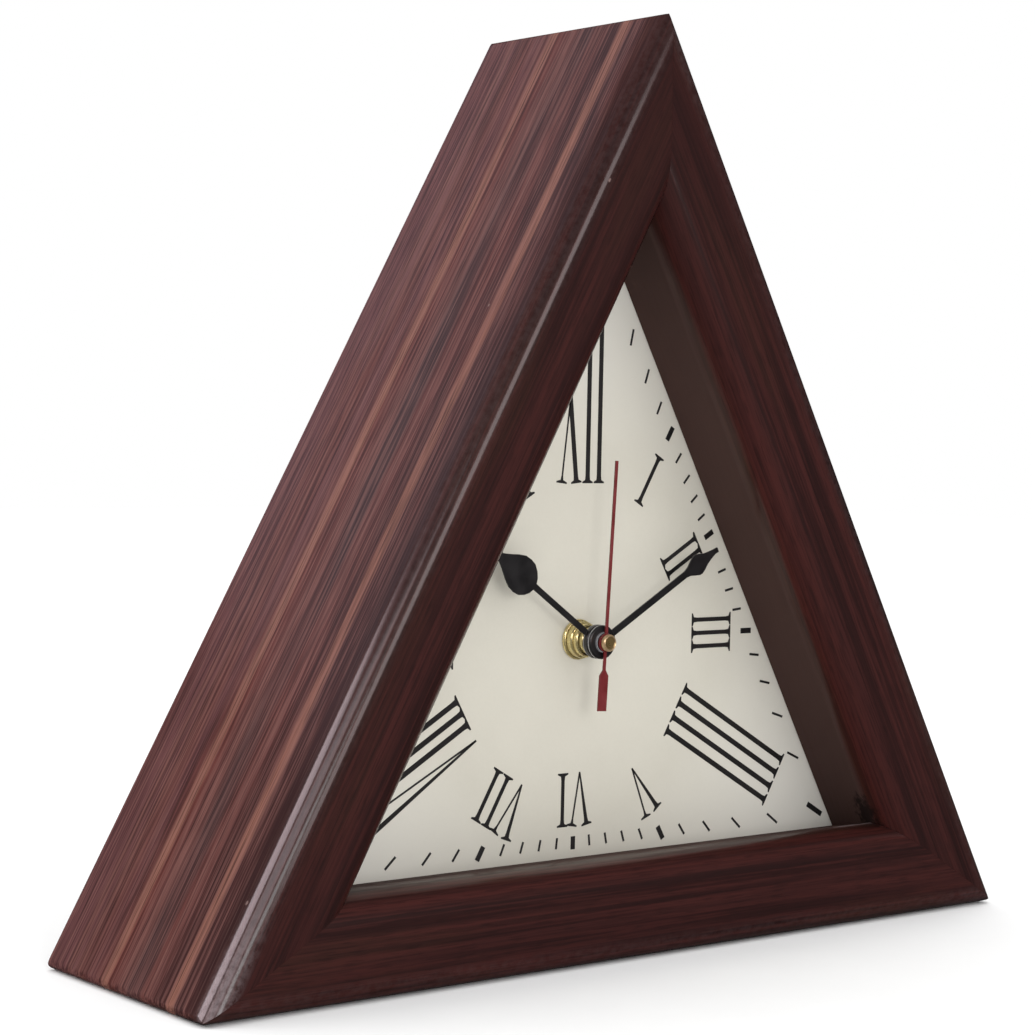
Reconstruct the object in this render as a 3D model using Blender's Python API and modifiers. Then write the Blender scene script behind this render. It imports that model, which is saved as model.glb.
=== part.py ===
# Triangular wooden wall clock with its quartz movement: metres, +Z up, the dial towards -Y.
# The case stands on its base rail, with the origin under the middle of the base.
import math

import bmesh
import bpy
from mathutils import Matrix, Vector

# Fits shared by all pieces
GAP = 0.0003
SEAT = 0.0002
OVERRUN = 0.003
SUNK = 0.0004
GLUE_LINE = 0.0001

# Case of three mitred rails
CASE_WIDTH = 0.300
CASE_HEIGHT = 0.270
CASE_DEPTH = 0.082
RAIL_THICKNESS = 0.0235
FRONT_ROUND = 0.0055
CORNER_ROUND = 0.0022
BACK_CHAMFER = 0.0008
RECESS_DEPTH = 0.036
REBATE_WIDTH = 0.006
LIP_START = 0.0200
LIP_INSET = 0.0285
LIP_ROUND_DEPTH = 0.0105
LIP_DEPTH = 0.0120

# Dowels that hold the mitres
DOWEL_RADIUS = 0.003
DOWEL_LENGTH = 0.013
DOWEL_FROM_EDGE = 0.020

# Dial card, its board and the beads behind it
CARD_THICKNESS = 0.0004
BOARD_THICKNESS = 0.003
BEAD_WIDTH = 0.008
BEAD_DEPTH = 0.006
BRAD_RADIUS = 0.0006
BRAD_HEAD_RADIUS = 0.0012
BRAD_HEAD_HEIGHT = 0.0005
BRAD_LENGTH = 0.016
BRAD_SPREAD = 0.060

# Keyhole hanger let into the back of the side rails
HANGER_WIDTH = 0.052
HANGER_HEIGHT = 0.020
HANGER_THICKNESS = 0.0012
HANGER_BELOW_APEX = 0.066
HANGER_ROUND = 0.003
POCKET_DEPTH = 0.0032
KEYHOLE_RADIUS = 0.0047
KEYHOLE_SLOT_WIDTH = 0.0046
KEYHOLE_RISE = 0.0055
SCREW_RADIUS = 0.0014
SCREW_LENGTH = 0.012
SCREW_HEAD_RADIUS = 0.0026
SCREW_HEAD_HEIGHT = 0.0013
SCREW_SPREAD = 0.0195
SCREW_PITCH = 0.009

# Concentric pipes, from the second arbor outwards
SECOND_ARBOR_RADIUS = 0.0005
PIPE_WALL = 0.0006
HOUR_PIPE_WALL = 0.0008
BUSH_WALL = 0.0012
BUSH_FLANGE_WIDTH = 0.0012
BUSH_FLANGE_THICKNESS = 0.0006

# Fronts of the pieces on the dial, measured forwards from the face of the dial card
WASHER_RADIUS = 0.0060
WASHER_THICKNESS = 0.0010
NUT_RADIUS = 0.0054
NUT_SHOULDER_RADIUS = 0.0049
NUT_THICKNESS = 0.0020
NUT_SHOULDER_THICKNESS = 0.0018
NUT_GROOVE = 0.0004
BUSH_REACH = 0.0070
HOUR_HAND_REACH = 0.0084
HUB_RADIUS = 0.0050
HOUR_HUB_THICKNESS = 0.0019
MINUTE_HUB_THICKNESS = 0.0011
MINUTE_BOSS_RADIUS = 0.0030
MINUTE_BOSS_THICKNESS = 0.0006
HAND_THICKNESS = 0.0005
SECOND_BOSS_RADIUS = 0.0027
SECOND_BOSS_THICKNESS = 0.0008
CAP_RADIUS = 0.0025
CAP_RIM = 0.0004
CAP_HEIGHT = 0.0014
CAP_SOCKET = 0.0006

# Hands
HOUR_HAND_LENGTH = 0.0475
HOUR_SPADE_WIDTH = 0.0112
HOUR_SPADE_LENGTH = 0.0185
HOUR_STEM_WIDTH = 0.0019
MINUTE_HAND_LENGTH = 0.0530
MINUTE_SPADE_WIDTH = 0.0066
MINUTE_SPADE_LENGTH = 0.0150
MINUTE_STEM_WIDTH = 0.0021
SECOND_HAND_LENGTH = 0.0530
SECOND_BLADE_WIDTH = 0.0010
SECOND_TAIL_LENGTH = 0.0200
SECOND_TAIL_WIDTH = 0.0033
SECOND_NECK_LENGTH = 0.0080
SHOWN_HOURS = 10
SHOWN_MINUTES = 10
SHOWN_SECONDS = 0.5

# Half outlines of the spades: share of the spade's length from its neck, share of its width
HOUR_SPADE_SHARES = (
    (0.00, 0.09), (0.03, 0.22), (0.10, 0.36), (0.20, 0.47), (0.31, 0.50), (0.43, 0.48),
    (0.56, 0.38), (0.68, 0.25), (0.80, 0.14), (0.91, 0.07), (1.00, 0.02),
)
MINUTE_SPADE_SHARES = (
    (0.00, 0.16), (0.10, 0.21), (0.22, 0.36), (0.33, 0.48), (0.40, 0.50), (0.50, 0.42),
    (0.62, 0.28), (0.75, 0.19), (0.88, 0.13), (1.00, 0.09),
)

# Going train and motion work: modules and tooth counts
CENTRE_MODULE = 0.00025
STEP_MODULE = 0.00025
MOTION_MODULE = 0.00030
CENTRE_TEETH = 64
THIRD_TEETH = 60
SECOND_TEETH = 48
STEP_TEETH = 40
PINION_LEAVES = 8
CANNON_LEAVES = 12
MOTION_TEETH = 36
MOTION_LEAVES = 10
HOUR_TEETH = 40
TOOTH_HEIGHT_SHARE = 0.80
TOOTH_DEPTH_SHARE = 1.25
TOOTH_TIP_SHARE = 0.095
TOOTH_ROOT_SHARE = 0.24
WHEEL_THICKNESS = 0.0007
LEVEL_GAP = 0.0005
ARBOR_RADIUS = 0.0005
STUD_RADIUS = 0.0004
THIRD_BEARING = 150
STEP_BEARING = 60
ROTOR_BEARING = 20
MOTION_BEARING = -20
KNOB_BEARING = 10

# Moulded case of the movement and the plates inside it
MOVEMENT_WALL = 0.0015
MOVEMENT_FRONT = 0.0012
MOVEMENT_TOP = 0.028
MOVEMENT_ROUND = 0.003
WASHER_PAD_RADIUS = 0.0085
WASHER_PAD_THICKNESS = 0.0010
BAY_PARTITION = 0.0012
PLATE_THICKNESS = 0.0010
PLATE_ROUND = 0.0015
BRIDGE_TOP = 0.0162
MIDDLE_PLATE_TOP = 0.0158
PLATE_SIDE_CLEARANCE = 0.0030
POST_RADIUS = 0.0017
POST_STEP = 0.0005
WHEEL_CLEARANCE = 0.0012
COVER_THICKNESS = 0.0012
KNOB_RADIUS = 0.0058
KNOB_THICKNESS = 0.0024
KNOB_ARBOR_RADIUS = 0.0009
KNOB_FLUTES = 14
KNOB_FLUTE_DEPTH = 0.0003
KNOB_RIDGE_SHARE = 0.5
KNOB_SLOT_LENGTH = 0.0080
KNOB_SLOT_WIDTH = 0.0012
KNOB_SLOT_DEPTH = 0.0008

# Stepping motor
MAGNET_RADIUS = 0.0024
MAGNET_THICKNESS = 0.0014
STATOR_THICKNESS = 0.0008
STATOR_SPAN = 0.026
STATOR_LEG_WIDTH = 0.004
STATOR_BAR_HEIGHT = 0.0085
STATOR_HOLE_CLEARANCE = 0.0005
COIL_RISE = 0.0128
CORE_THICKNESS = 0.0010
CORE_WIDTH = 0.0024
BOBBIN_WALL = 0.0006
BOBBIN_FLANGE_RADIUS = 0.0033
BOBBIN_FLANGE_THICKNESS = 0.0008
WINDING_RADIUS = 0.0030

# Circuit board
BOARD_WIDTH = 0.0180
BOARD_HEIGHT = 0.0095
BOARD_SHEET = 0.0008
CRYSTAL_RADIUS = 0.0010
CRYSTAL_LENGTH = 0.0060
CRYSTAL_RISE = 0.0024
CHIP_RADIUS = 0.0022
CHIP_HEIGHT = 0.0008
CHIP_DROP = 0.0019

# Battery and its contacts
BATTERY_RADIUS = 0.0071
BATTERY_LENGTH = 0.0505
BATTERY_NUB_RADIUS = 0.0028
BATTERY_NUB_LENGTH = 0.0012
BATTERY_EDGE_ROUND = 0.0006
CONTACT_THICKNESS = 0.0003
CONTACT_WIDTH = 0.0070
CONTACT_HEIGHT = 0.0110
SPRING_BULGE = 0.0012

# Facets of the round pieces
FINE_STEPS = 24
MEDIUM_STEPS = 18
SMALL_STEPS = 8
ROUND_STEPS = 6
SHARP_ANGLE = math.radians(35)

FRONT = -CASE_DEPTH / 2
BACK = CASE_DEPTH / 2
HALF_WIDTH = CASE_WIDTH / 2
SLOPE = math.hypot(HALF_WIDTH, CASE_HEIGHT)
NORMAL_X = CASE_HEIGHT / SLOPE
NORMAL_Z = HALF_WIDTH / SLOPE
HUB_HEIGHT = CASE_WIDTH * CASE_HEIGHT / (CASE_WIDTH + SLOPE + SLOPE)
HUB = Vector((0, 0, HUB_HEIGHT))
THIN_RAIL = RAIL_THICKNESS - REBATE_WIDTH

# Depths, from the face of the dial backwards
DIAL_FACE = FRONT + RECESS_DEPTH + GAP
BOARD_FRONT = DIAL_FACE + CARD_THICKNESS + SEAT
BOARD_BACK = BOARD_FRONT + BOARD_THICKNESS
PAD_FRONT = BOARD_BACK + GAP
MOVEMENT_FACE = PAD_FRONT + WASHER_PAD_THICKNESS + GAP
INSIDE = MOVEMENT_FACE + MOVEMENT_FRONT
FLANGE_FRONT = INSIDE + GAP
LEVEL_PITCH = WHEEL_THICKNESS + LEVEL_GAP
HOUR_LEVEL = FLANGE_FRONT + BUSH_FLANGE_THICKNESS + GAP
MINUTE_LEVEL = HOUR_LEVEL + LEVEL_PITCH
CENTRE_LEVEL = MINUTE_LEVEL + LEVEL_PITCH
MIDDLE_PLATE = CENTRE_LEVEL + LEVEL_PITCH
THIRD_LEVEL = MIDDLE_PLATE + PLATE_THICKNESS + LEVEL_GAP
SECOND_LEVEL = THIRD_LEVEL + LEVEL_PITCH
STEP_LEVEL = SECOND_LEVEL + LEVEL_PITCH
MAGNET_LEVEL = STEP_LEVEL + LEVEL_PITCH
BRIDGE = MAGNET_LEVEL + MAGNET_THICKNESS + LEVEL_GAP
STATOR_FRONT = BRIDGE - GAP - STATOR_THICKNESS
TRAIN_END = BRIDGE + PLATE_THICKNESS
COIL_AXIS = STATOR_FRONT - GAP - CORE_THICKNESS / 2
BATTERY_AXIS = INSIDE + GAP + BATTERY_RADIUS
COVER_FRONT = max(
    BATTERY_AXIS + BATTERY_RADIUS + GAP - COVER_THICKNESS,
    TRAIN_END + GAP,
    COIL_AXIS + BOBBIN_FLANGE_RADIUS + GAP,
)
MOVEMENT_BACK = COVER_FRONT + COVER_THICKNESS

# Radii of the nested pipes
MINUTE_BORE = SECOND_ARBOR_RADIUS + GAP
MINUTE_PIPE_RADIUS = MINUTE_BORE + PIPE_WALL
HOUR_BORE = MINUTE_PIPE_RADIUS + GAP
HOUR_PIPE_RADIUS = HOUR_BORE + HOUR_PIPE_WALL
BUSH_BORE = HOUR_PIPE_RADIUS + GAP
BUSH_RADIUS = BUSH_BORE + BUSH_WALL
BUSH_FLANGE_RADIUS = BUSH_RADIUS + BUSH_FLANGE_WIDTH
HUB_HOLE_RADIUS = BUSH_RADIUS + GAP

# Reach of each hand in front of the dial
MINUTE_HAND_REACH = HOUR_HAND_REACH + HOUR_HUB_THICKNESS + GAP
MINUTE_FRONT_REACH = MINUTE_HAND_REACH + MINUTE_HUB_THICKNESS + MINUTE_BOSS_THICKNESS
SECOND_HAND_REACH = MINUTE_FRONT_REACH + GAP
CAP_REACH = SECOND_HAND_REACH + SECOND_BOSS_THICKNESS + GAP

# Arbor distances and modules that follow from them
THIRD_DISTANCE = CENTRE_MODULE * (CENTRE_TEETH + PINION_LEAVES) / 2
SECOND_MODULE = 2 * THIRD_DISTANCE / (THIRD_TEETH + PINION_LEAVES)
STEP_DISTANCE = STEP_MODULE * (SECOND_TEETH + PINION_LEAVES) / 2
ROTOR_DISTANCE = STEP_MODULE * (STEP_TEETH + PINION_LEAVES) / 2
MOTION_DISTANCE = MOTION_MODULE * (CANNON_LEAVES + MOTION_TEETH) / 2
HOUR_MODULE = 2 * MOTION_DISTANCE / (HOUR_TEETH + MOTION_LEAVES)


def bearing(degrees, distance):
    """Offset in the plane of the dial, anticlockwise from +X as seen from the front."""
    angle = math.radians(degrees)
    return Vector((math.cos(angle) * distance, 0, math.sin(angle) * distance))


THIRD = HUB + bearing(THIRD_BEARING, THIRD_DISTANCE)
STEP = HUB + bearing(STEP_BEARING, STEP_DISTANCE)
ROTOR = STEP + bearing(ROTOR_BEARING, ROTOR_DISTANCE)
MOTION = HUB + bearing(MOTION_BEARING, MOTION_DISTANCE)
KNOB = MOTION + bearing(KNOB_BEARING, MOTION_DISTANCE)

# Battery bay under the train, and the width that it gives the movement
CENTRE_TIP = CENTRE_MODULE * (CENTRE_TEETH / 2 + TOOTH_HEIGHT_SHARE)
PARTITION_TOP = HUB_HEIGHT - CENTRE_TIP - WHEEL_CLEARANCE
BAY_TOP = PARTITION_TOP - BAY_PARTITION
BATTERY_HEIGHT = BAY_TOP - GAP - BATTERY_RADIUS
BAY_BOTTOM = BATTERY_HEIGHT - BATTERY_RADIUS - GAP
BAY_HALF = BATTERY_LENGTH / 2 + GAP + SPRING_BULGE + CONTACT_THICKNESS + GAP
MOVEMENT_HALF = BAY_HALF + MOVEMENT_WALL
MOVEMENT_CROWN = HUB_HEIGHT + MOVEMENT_TOP
CHAMBER_TOP = MOVEMENT_CROWN - MOVEMENT_WALL
COIL = Vector((ROTOR.x, 0, ROTOR.z + COIL_RISE))

# Posts that carry the plates, and the circuit board's own posts
PLATE_HALF = MOVEMENT_HALF - MOVEMENT_WALL - PLATE_SIDE_CLEARANCE
PLATE_BOTTOM = PARTITION_TOP + GAP
POST_INSET = POST_RADIUS + PLATE_ROUND
PLATE_POSTS = (
    Vector((-PLATE_HALF + POST_INSET, 0, PLATE_BOTTOM + POST_INSET)),
    Vector((PLATE_HALF - POST_INSET, 0, PLATE_BOTTOM + POST_INSET)),
    Vector((-PLATE_HALF + POST_INSET, 0, HUB_HEIGHT + MIDDLE_PLATE_TOP - POST_INSET)),
    Vector((ROTOR.x + POST_INSET, 0, HUB_HEIGHT + MIDDLE_PLATE_TOP - POST_RADIUS)),
)
CIRCUIT = Vector((
    -BAY_HALF + GAP + BOARD_WIDTH / 2, 0, CHAMBER_TOP - GAP - BOARD_HEIGHT / 2,
))
CIRCUIT_POSTS = (
    CIRCUIT + Vector((-BOARD_WIDTH / 2 + POST_RADIUS, 0, 0)),
    CIRCUIT + Vector((BOARD_WIDTH / 2 - POST_RADIUS, 0, 0)),
)

PALETTE = {
    "wood": ((0.075, 0.022, 0.016), 0.38, 0.0),
    "pale_wood": ((0.60, 0.42, 0.24), 0.70, 0.0),
    "card": ((0.78, 0.74, 0.62), 0.75, 0.0),
    "fibreboard": ((0.36, 0.23, 0.12), 0.85, 0.0),
    "steel": ((0.55, 0.55, 0.56), 0.35, 1.0),
    "brass": ((0.72, 0.54, 0.24), 0.30, 1.0),
    "black_paint": ((0.012, 0.011, 0.012), 0.45, 0.0),
    "red_paint": ((0.36, 0.015, 0.018), 0.40, 0.0),
    "rubber": ((0.02, 0.02, 0.02), 0.80, 0.0),
    "black_plastic": ((0.025, 0.025, 0.027), 0.50, 0.0),
    "white_plastic": ((0.75, 0.74, 0.70), 0.45, 0.0),
    "iron": ((0.30, 0.29, 0.28), 0.45, 1.0),
    "copper": ((0.62, 0.24, 0.10), 0.35, 1.0),
    "circuit": ((0.25, 0.30, 0.10), 0.55, 0.0),
    "battery": ((0.08, 0.09, 0.10), 0.40, 0.2),
}


# Scene and mesh helpers


def clear_scene():
    for old in list(bpy.data.objects):
        bpy.data.objects.remove(old, do_unlink=True)
    for old in list(bpy.data.collections):
        bpy.data.collections.remove(old)


clear_scene()
clock = bpy.data.collections.new("wooden_wall_clock")
helpers = bpy.data.collections.new("cutters")
bpy.context.scene.collection.children.link(clock)
bpy.context.scene.collection.children.link(helpers)


def settle(obj):
    """Replaces a curve or a modified mesh by its evaluated mesh, welded and facing out."""
    bpy.context.view_layer.update()
    graph = bpy.context.evaluated_depsgraph_get()
    mesh = bpy.data.meshes.new_from_object(obj.evaluated_get(graph))
    work = bmesh.new()
    work.from_mesh(mesh)
    bmesh.ops.remove_doubles(work, verts=work.verts, dist=1e-6)
    bmesh.ops.dissolve_degenerate(work, edges=work.edges, dist=1e-7)
    bmesh.ops.recalc_face_normals(work, faces=work.faces)
    work.to_mesh(mesh)
    work.free()
    name = obj.name
    placed = obj.matrix_world.copy()
    bpy.data.objects.remove(obj, do_unlink=True)
    solid = bpy.data.objects.new(name, mesh)
    solid.matrix_world = placed
    helpers.objects.link(solid)
    solid.hide_render = True
    solid.display_type = "WIRE"
    return solid


def boolean(target, other, operation):
    step = target.modifiers.new(operation.lower(), "BOOLEAN")
    step.operation = operation
    step.solver = "EXACT"
    step.object = other


def cut(target, *cutters):
    for cutter in cutters:
        boolean(target, cutter, "DIFFERENCE")
    return settle(target)


def join(target, *others):
    for other in others:
        boolean(target, other, "UNION")
    solid = settle(target)
    for other in others:
        bpy.data.objects.remove(other, do_unlink=True)
    return solid


def finish(solid, colour, parent=None, smooth=True):
    """Moves a finished solid to the clock's collection and gives it its own material."""
    base, roughness, metallic = PALETTE[colour]
    material = bpy.data.materials.new(solid.name)
    material.use_nodes = True
    shader = material.node_tree.nodes["Principled BSDF"]
    shader.inputs["Base Color"].default_value = (*base, 1)
    shader.inputs["Roughness"].default_value = roughness
    shader.inputs["Metallic"].default_value = metallic
    material.diffuse_color = (*base, 1)
    solid.data.materials.clear()
    solid.data.materials.append(material)
    if smooth:
        solid.data.shade_smooth()
        solid.data.set_sharp_from_angle(angle=SHARP_ANGLE)
    helpers.objects.unlink(solid)
    clock.objects.link(solid)
    solid.hide_render = False
    solid.display_type = "TEXTURED"
    if parent:
        solid.parent = parent
        solid.matrix_parent_inverse = parent.matrix_world.inverted()
    return solid


def pivot(name, place, depth):
    """Empty on a joint's axis, which carries the pieces that turn or slide together."""
    empty = bpy.data.objects.new(name, None)
    empty.location = (place.x, depth, place.z)
    empty.empty_display_size = WASHER_RADIUS
    clock.objects.link(empty)
    bpy.context.view_layer.update()
    return empty


# Plane outlines, as lists of (across, up)


def arc(centre, radius, start, end, steps):
    """Points on an arc, angles in degrees from +across."""
    points = []
    for step in range(steps + 1):
        angle = math.radians(start + (end - start) * step / steps)
        points.append((centre[0] + radius * math.cos(angle), centre[1] + radius * math.sin(angle)))
    return points


def circle(centre, radius, steps):
    return arc(centre, radius, 0, 360, steps)[:-1]


def rounded(left, bottom, right, top, radius, steps=3):
    return (
        arc((right - radius, bottom + radius), radius, -90, 0, steps)
        + arc((right - radius, top - radius), radius, 0, 90, steps)
        + arc((left + radius, top - radius), radius, 90, 180, steps)
        + arc((left + radius, bottom + radius), radius, 180, 270, steps)
    )


def box_outline(left, bottom, right, top):
    return [(left, bottom), (right, bottom), (right, top), (left, top)]


def triangle(side_inset, base_inset):
    """Corners of the case's triangle, moved in from its faces."""
    reach = NORMAL_X * HALF_WIDTH - side_inset
    half = (reach - NORMAL_Z * base_inset) / NORMAL_X
    return {
        "left_foot": (-half, base_inset),
        "right_foot": (half, base_inset),
        "apex": (0, reach / NORMAL_Z),
    }


# Solids


def curve_solid(name, outlines, thickness):
    """2D curve, filled and extruded by the thickness about its own plane."""
    data = bpy.data.curves.new(name, "CURVE")
    data.dimensions = "2D"
    data.fill_mode = "BOTH"
    data.extrude = thickness / 2
    for outline in outlines:
        spline = data.splines.new("POLY")
        spline.points.add(len(outline) - 1)
        for point, (across, up) in zip(spline.points, outline):
            point.co = (across, up, 0, 1)
        spline.use_cyclic_u = True
    solid = bpy.data.objects.new(name, data)
    helpers.objects.link(solid)
    return solid


def plate(name, outlines, front, thickness, centre=None):
    """Flat piece parallel to the dial, from the depth front backwards, about centre."""
    solid = curve_solid(name, outlines, thickness)
    place = centre or Vector((0, 0, 0))
    solid.location = (place.x, front + thickness / 2, place.z)
    solid.rotation_euler = (math.pi / 2, 0, 0)
    return settle(solid)


def turned(name, profile, centre, steps, closed=False):
    """Turned piece on an axis from front to back: profile of (radius, depth), front first."""
    mesh = bpy.data.meshes.new(name)
    count = len(profile)
    edges = [(i, i + 1) for i in range(count - 1)]
    if closed:
        edges.append((count - 1, 0))
    mesh.from_pydata([(radius, 0, -depth) for radius, depth in profile], edges, [])
    solid = bpy.data.objects.new(name, mesh)
    helpers.objects.link(solid)
    solid.location = (centre.x, 0, centre.z)
    solid.rotation_euler = (math.pi / 2, 0, 0)
    screw = solid.modifiers.new("turn", "SCREW")
    screw.axis = "Z"
    screw.steps = steps
    screw.render_steps = steps
    screw.use_merge_vertices = True
    screw.merge_threshold = 1e-5
    return settle(solid)


def rod(name, start, end, radius, steps):
    """Cylinder between two points."""
    span = end - start
    bpy.ops.mesh.primitive_cylinder_add(vertices=steps, radius=radius, depth=span.length)
    solid = bpy.context.object
    solid.name = name
    solid.matrix_world = (
        Matrix.Translation((start + end) / 2)
        @ Vector((0, 0, 1)).rotation_difference(span).to_matrix().to_4x4()
    )
    for other in list(solid.users_collection):
        other.objects.unlink(solid)
    helpers.objects.link(solid)
    bpy.context.view_layer.update()
    return settle(solid)


def arbor(name, centre, front, back, radius, steps=SMALL_STEPS):
    start = Vector((centre.x, front, centre.z))
    return rod(name, start, Vector((centre.x, back, centre.z)), radius, steps)


def block(name, low, high):
    bpy.ops.mesh.primitive_cube_add(size=1)
    solid = bpy.context.object
    solid.name = name
    solid.matrix_world = Matrix.Translation((low + high) / 2) @ Matrix.Diagonal((*(high - low), 1))
    for other in list(solid.users_collection):
        other.objects.unlink(solid)
    helpers.objects.link(solid)
    bpy.context.view_layer.update()
    return settle(solid)


# Mitred rails and beads

RAIL_ENDS = {
    "left": ("left_foot", "apex"),
    "right": ("apex", "right_foot"),
    "base": ("right_foot", "left_foot"),
}


def along_rail(side, insets):
    """Frame of a rail: across it inwards, backwards, and along its outer line."""
    corners = triangle(*insets)
    first, last = RAIL_ENDS[side]
    start = Vector((corners[first][0], 0, corners[first][1]))
    end = Vector((corners[last][0], 0, corners[last][1]))
    along = (end - start).normalized()
    depth = Vector((0, 1, 0))
    inward = depth.cross(along)
    frame = Matrix((inward, depth, along)).transposed().to_4x4()
    frame.translation = (start + end) / 2 + Vector((0, FRONT, 0))
    return frame, start, end


def mitred(name, side, section, outer, inner):
    """Moulding with a section of (inwards, backwards) points, sawn to its two mitres."""
    frame, start, end = along_rail(side, outer)
    length = (end - start).length
    moulding = curve_solid(name, [section], length + OVERRUN)
    moulding.matrix_world = frame
    moulding = settle(moulding)
    work = bmesh.new()
    work.from_mesh(moulding.data)
    inner_corners = triangle(*inner)
    for corner, outer_point in zip(RAIL_ENDS[side], (start, end)):
        inner_point = Vector((inner_corners[corner][0], 0, inner_corners[corner][1]))
        normal = (inner_point - outer_point).cross(Vector((0, 1, 0))).normalized()
        middle = (start + end) / 2
        if normal.dot(outer_point - middle) < 0:
            normal.negate()
        local_point = frame.inverted() @ (outer_point - normal * GLUE_LINE / 2)
        local_normal = frame.to_3x3().inverted() @ normal
        geometry = work.verts[:] + work.edges[:] + work.faces[:]
        sawn = bmesh.ops.bisect_plane(
            work, geom=geometry, plane_co=local_point, plane_no=local_normal, clear_outer=True
        )
        edges = [item for item in sawn["geom_cut"] if isinstance(item, bmesh.types.BMEdge)]
        bmesh.ops.edgeloop_fill(work, edges=edges)
    bmesh.ops.recalc_face_normals(work, faces=work.faces)
    work.to_mesh(moulding.data)
    work.free()
    return moulding


def rail_section():
    """Round outer edge, flat face, long round to the lip, leaning wall and the rebate behind."""
    lip = []
    for step in range(ROUND_STEPS + 1):
        angle = math.radians(90) * step / ROUND_STEPS
        inwards = LIP_START + (LIP_INSET - LIP_START) * math.sin(angle)
        lip.append((inwards, LIP_ROUND_DEPTH * (1 - math.cos(angle))))
    return (
        arc((FRONT_ROUND, FRONT_ROUND), FRONT_ROUND, 180, 270, ROUND_STEPS)
        + lip
        + [(LIP_INSET, LIP_DEPTH), (RAIL_THICKNESS, RECESS_DEPTH), (THIN_RAIL, RECESS_DEPTH)]
        + [(THIN_RAIL, CASE_DEPTH), (BACK_CHAMFER, CASE_DEPTH), (0, CASE_DEPTH - BACK_CHAMFER)]
    )


def bead_section():
    front = BOARD_BACK + GAP - FRONT
    back = front + BEAD_DEPTH
    radius = min(BEAD_DEPTH, BEAD_WIDTH) / 2
    curve = arc((BEAD_WIDTH - radius, back - radius), radius, 0, 90, ROUND_STEPS // 2)
    return [(GAP, front), (BEAD_WIDTH, front)] + curve + [(GAP, back)]


def corner_cutters():
    """Removes each sharp outer corner of the case down to the corner's round."""
    cutters = []
    corners = [Vector((x, z)) for x, z in triangle(0, 0).values()]
    for index, corner in enumerate(corners):
        one = (corners[index - 1] - corner).normalized()
        two = (corners[index - 2] - corner).normalized()
        half = one.angle(two) / 2
        away = -(one + two).normalized()
        centre = corner - away * CORNER_ROUND / math.sin(half)
        tangent_one = corner + one * CORNER_ROUND / math.tan(half)
        tangent_two = corner + two * CORNER_ROUND / math.tan(half)
        start = (tangent_one - centre).normalized()
        end = (tangent_two - centre).normalized()
        turn = start.angle_signed(end)
        outline = [tangent_two + end * OVERRUN, corner + away * OVERRUN / math.sin(half)]
        outline.append(tangent_one + start * OVERRUN)
        for step in range(ROUND_STEPS + 1):
            spoke = Matrix.Rotation(-turn * step / ROUND_STEPS, 2) @ start
            outline.append(centre + spoke * CORNER_ROUND)
        points = [(point.x, point.y) for point in outline]
        cutters.append(
            plate(f"corner_cutter_{index}", [points], FRONT - OVERRUN, CASE_DEPTH + 2 * OVERRUN)
        )
    return cutters


def dowel_places():
    """Middle and direction of each dowel, two to a mitre, square to the mitre's face."""
    places = []
    outer = triangle(0, 0)
    inner = triangle(THIN_RAIL, THIN_RAIL)
    for (out_x, out_z), (in_x, in_z) in zip(outer.values(), inner.values()):
        spot = Vector(((out_x + in_x) / 2, 0, (out_z + in_z) / 2))
        across = Vector((in_x - out_x, 0, in_z - out_z)).normalized()
        normal = across.cross(Vector((0, 1, 0)))
        for depth in (FRONT + DOWEL_FROM_EDGE, BACK - DOWEL_FROM_EDGE):
            places.append((spot + Vector((0, depth, 0)), normal))
    return places


def screw_places():
    height = CASE_HEIGHT - HANGER_BELOW_APEX
    return [
        Vector((x, 0, height + z))
        for x in (-SCREW_SPREAD, SCREW_SPREAD)
        for z in (-SCREW_PITCH / 2, SCREW_PITCH / 2)
    ]


def brad_places():
    """Head and direction of each brad, two to a bead, driven outwards into the rail."""
    places = []
    for side in ("left", "right", "base"):
        frame, start, end = along_rail(side, (0, 0))
        middle = Vector(((start.x + end.x) / 2, 0, (start.z + end.z) / 2))
        hub_along = frame.to_3x3().inverted() @ (HUB - middle)
        for offset in (-BRAD_SPREAD, BRAD_SPREAD):
            local = Vector((
                THIN_RAIL + BEAD_WIDTH + GAP,
                BOARD_BACK + GAP + BEAD_DEPTH / 2 - FRONT,
                hub_along.z + offset,
            ))
            places.append((frame @ local, -(frame.to_3x3() @ Vector((1, 0, 0)))))
    return places


def hanger_outline(grow):
    low = CASE_HEIGHT - HANGER_BELOW_APEX - HANGER_HEIGHT / 2 - grow
    high = low + HANGER_HEIGHT + 2 * grow
    half = HANGER_WIDTH / 2 + grow
    return rounded(-half, low, half, high, HANGER_ROUND + grow)


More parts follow.
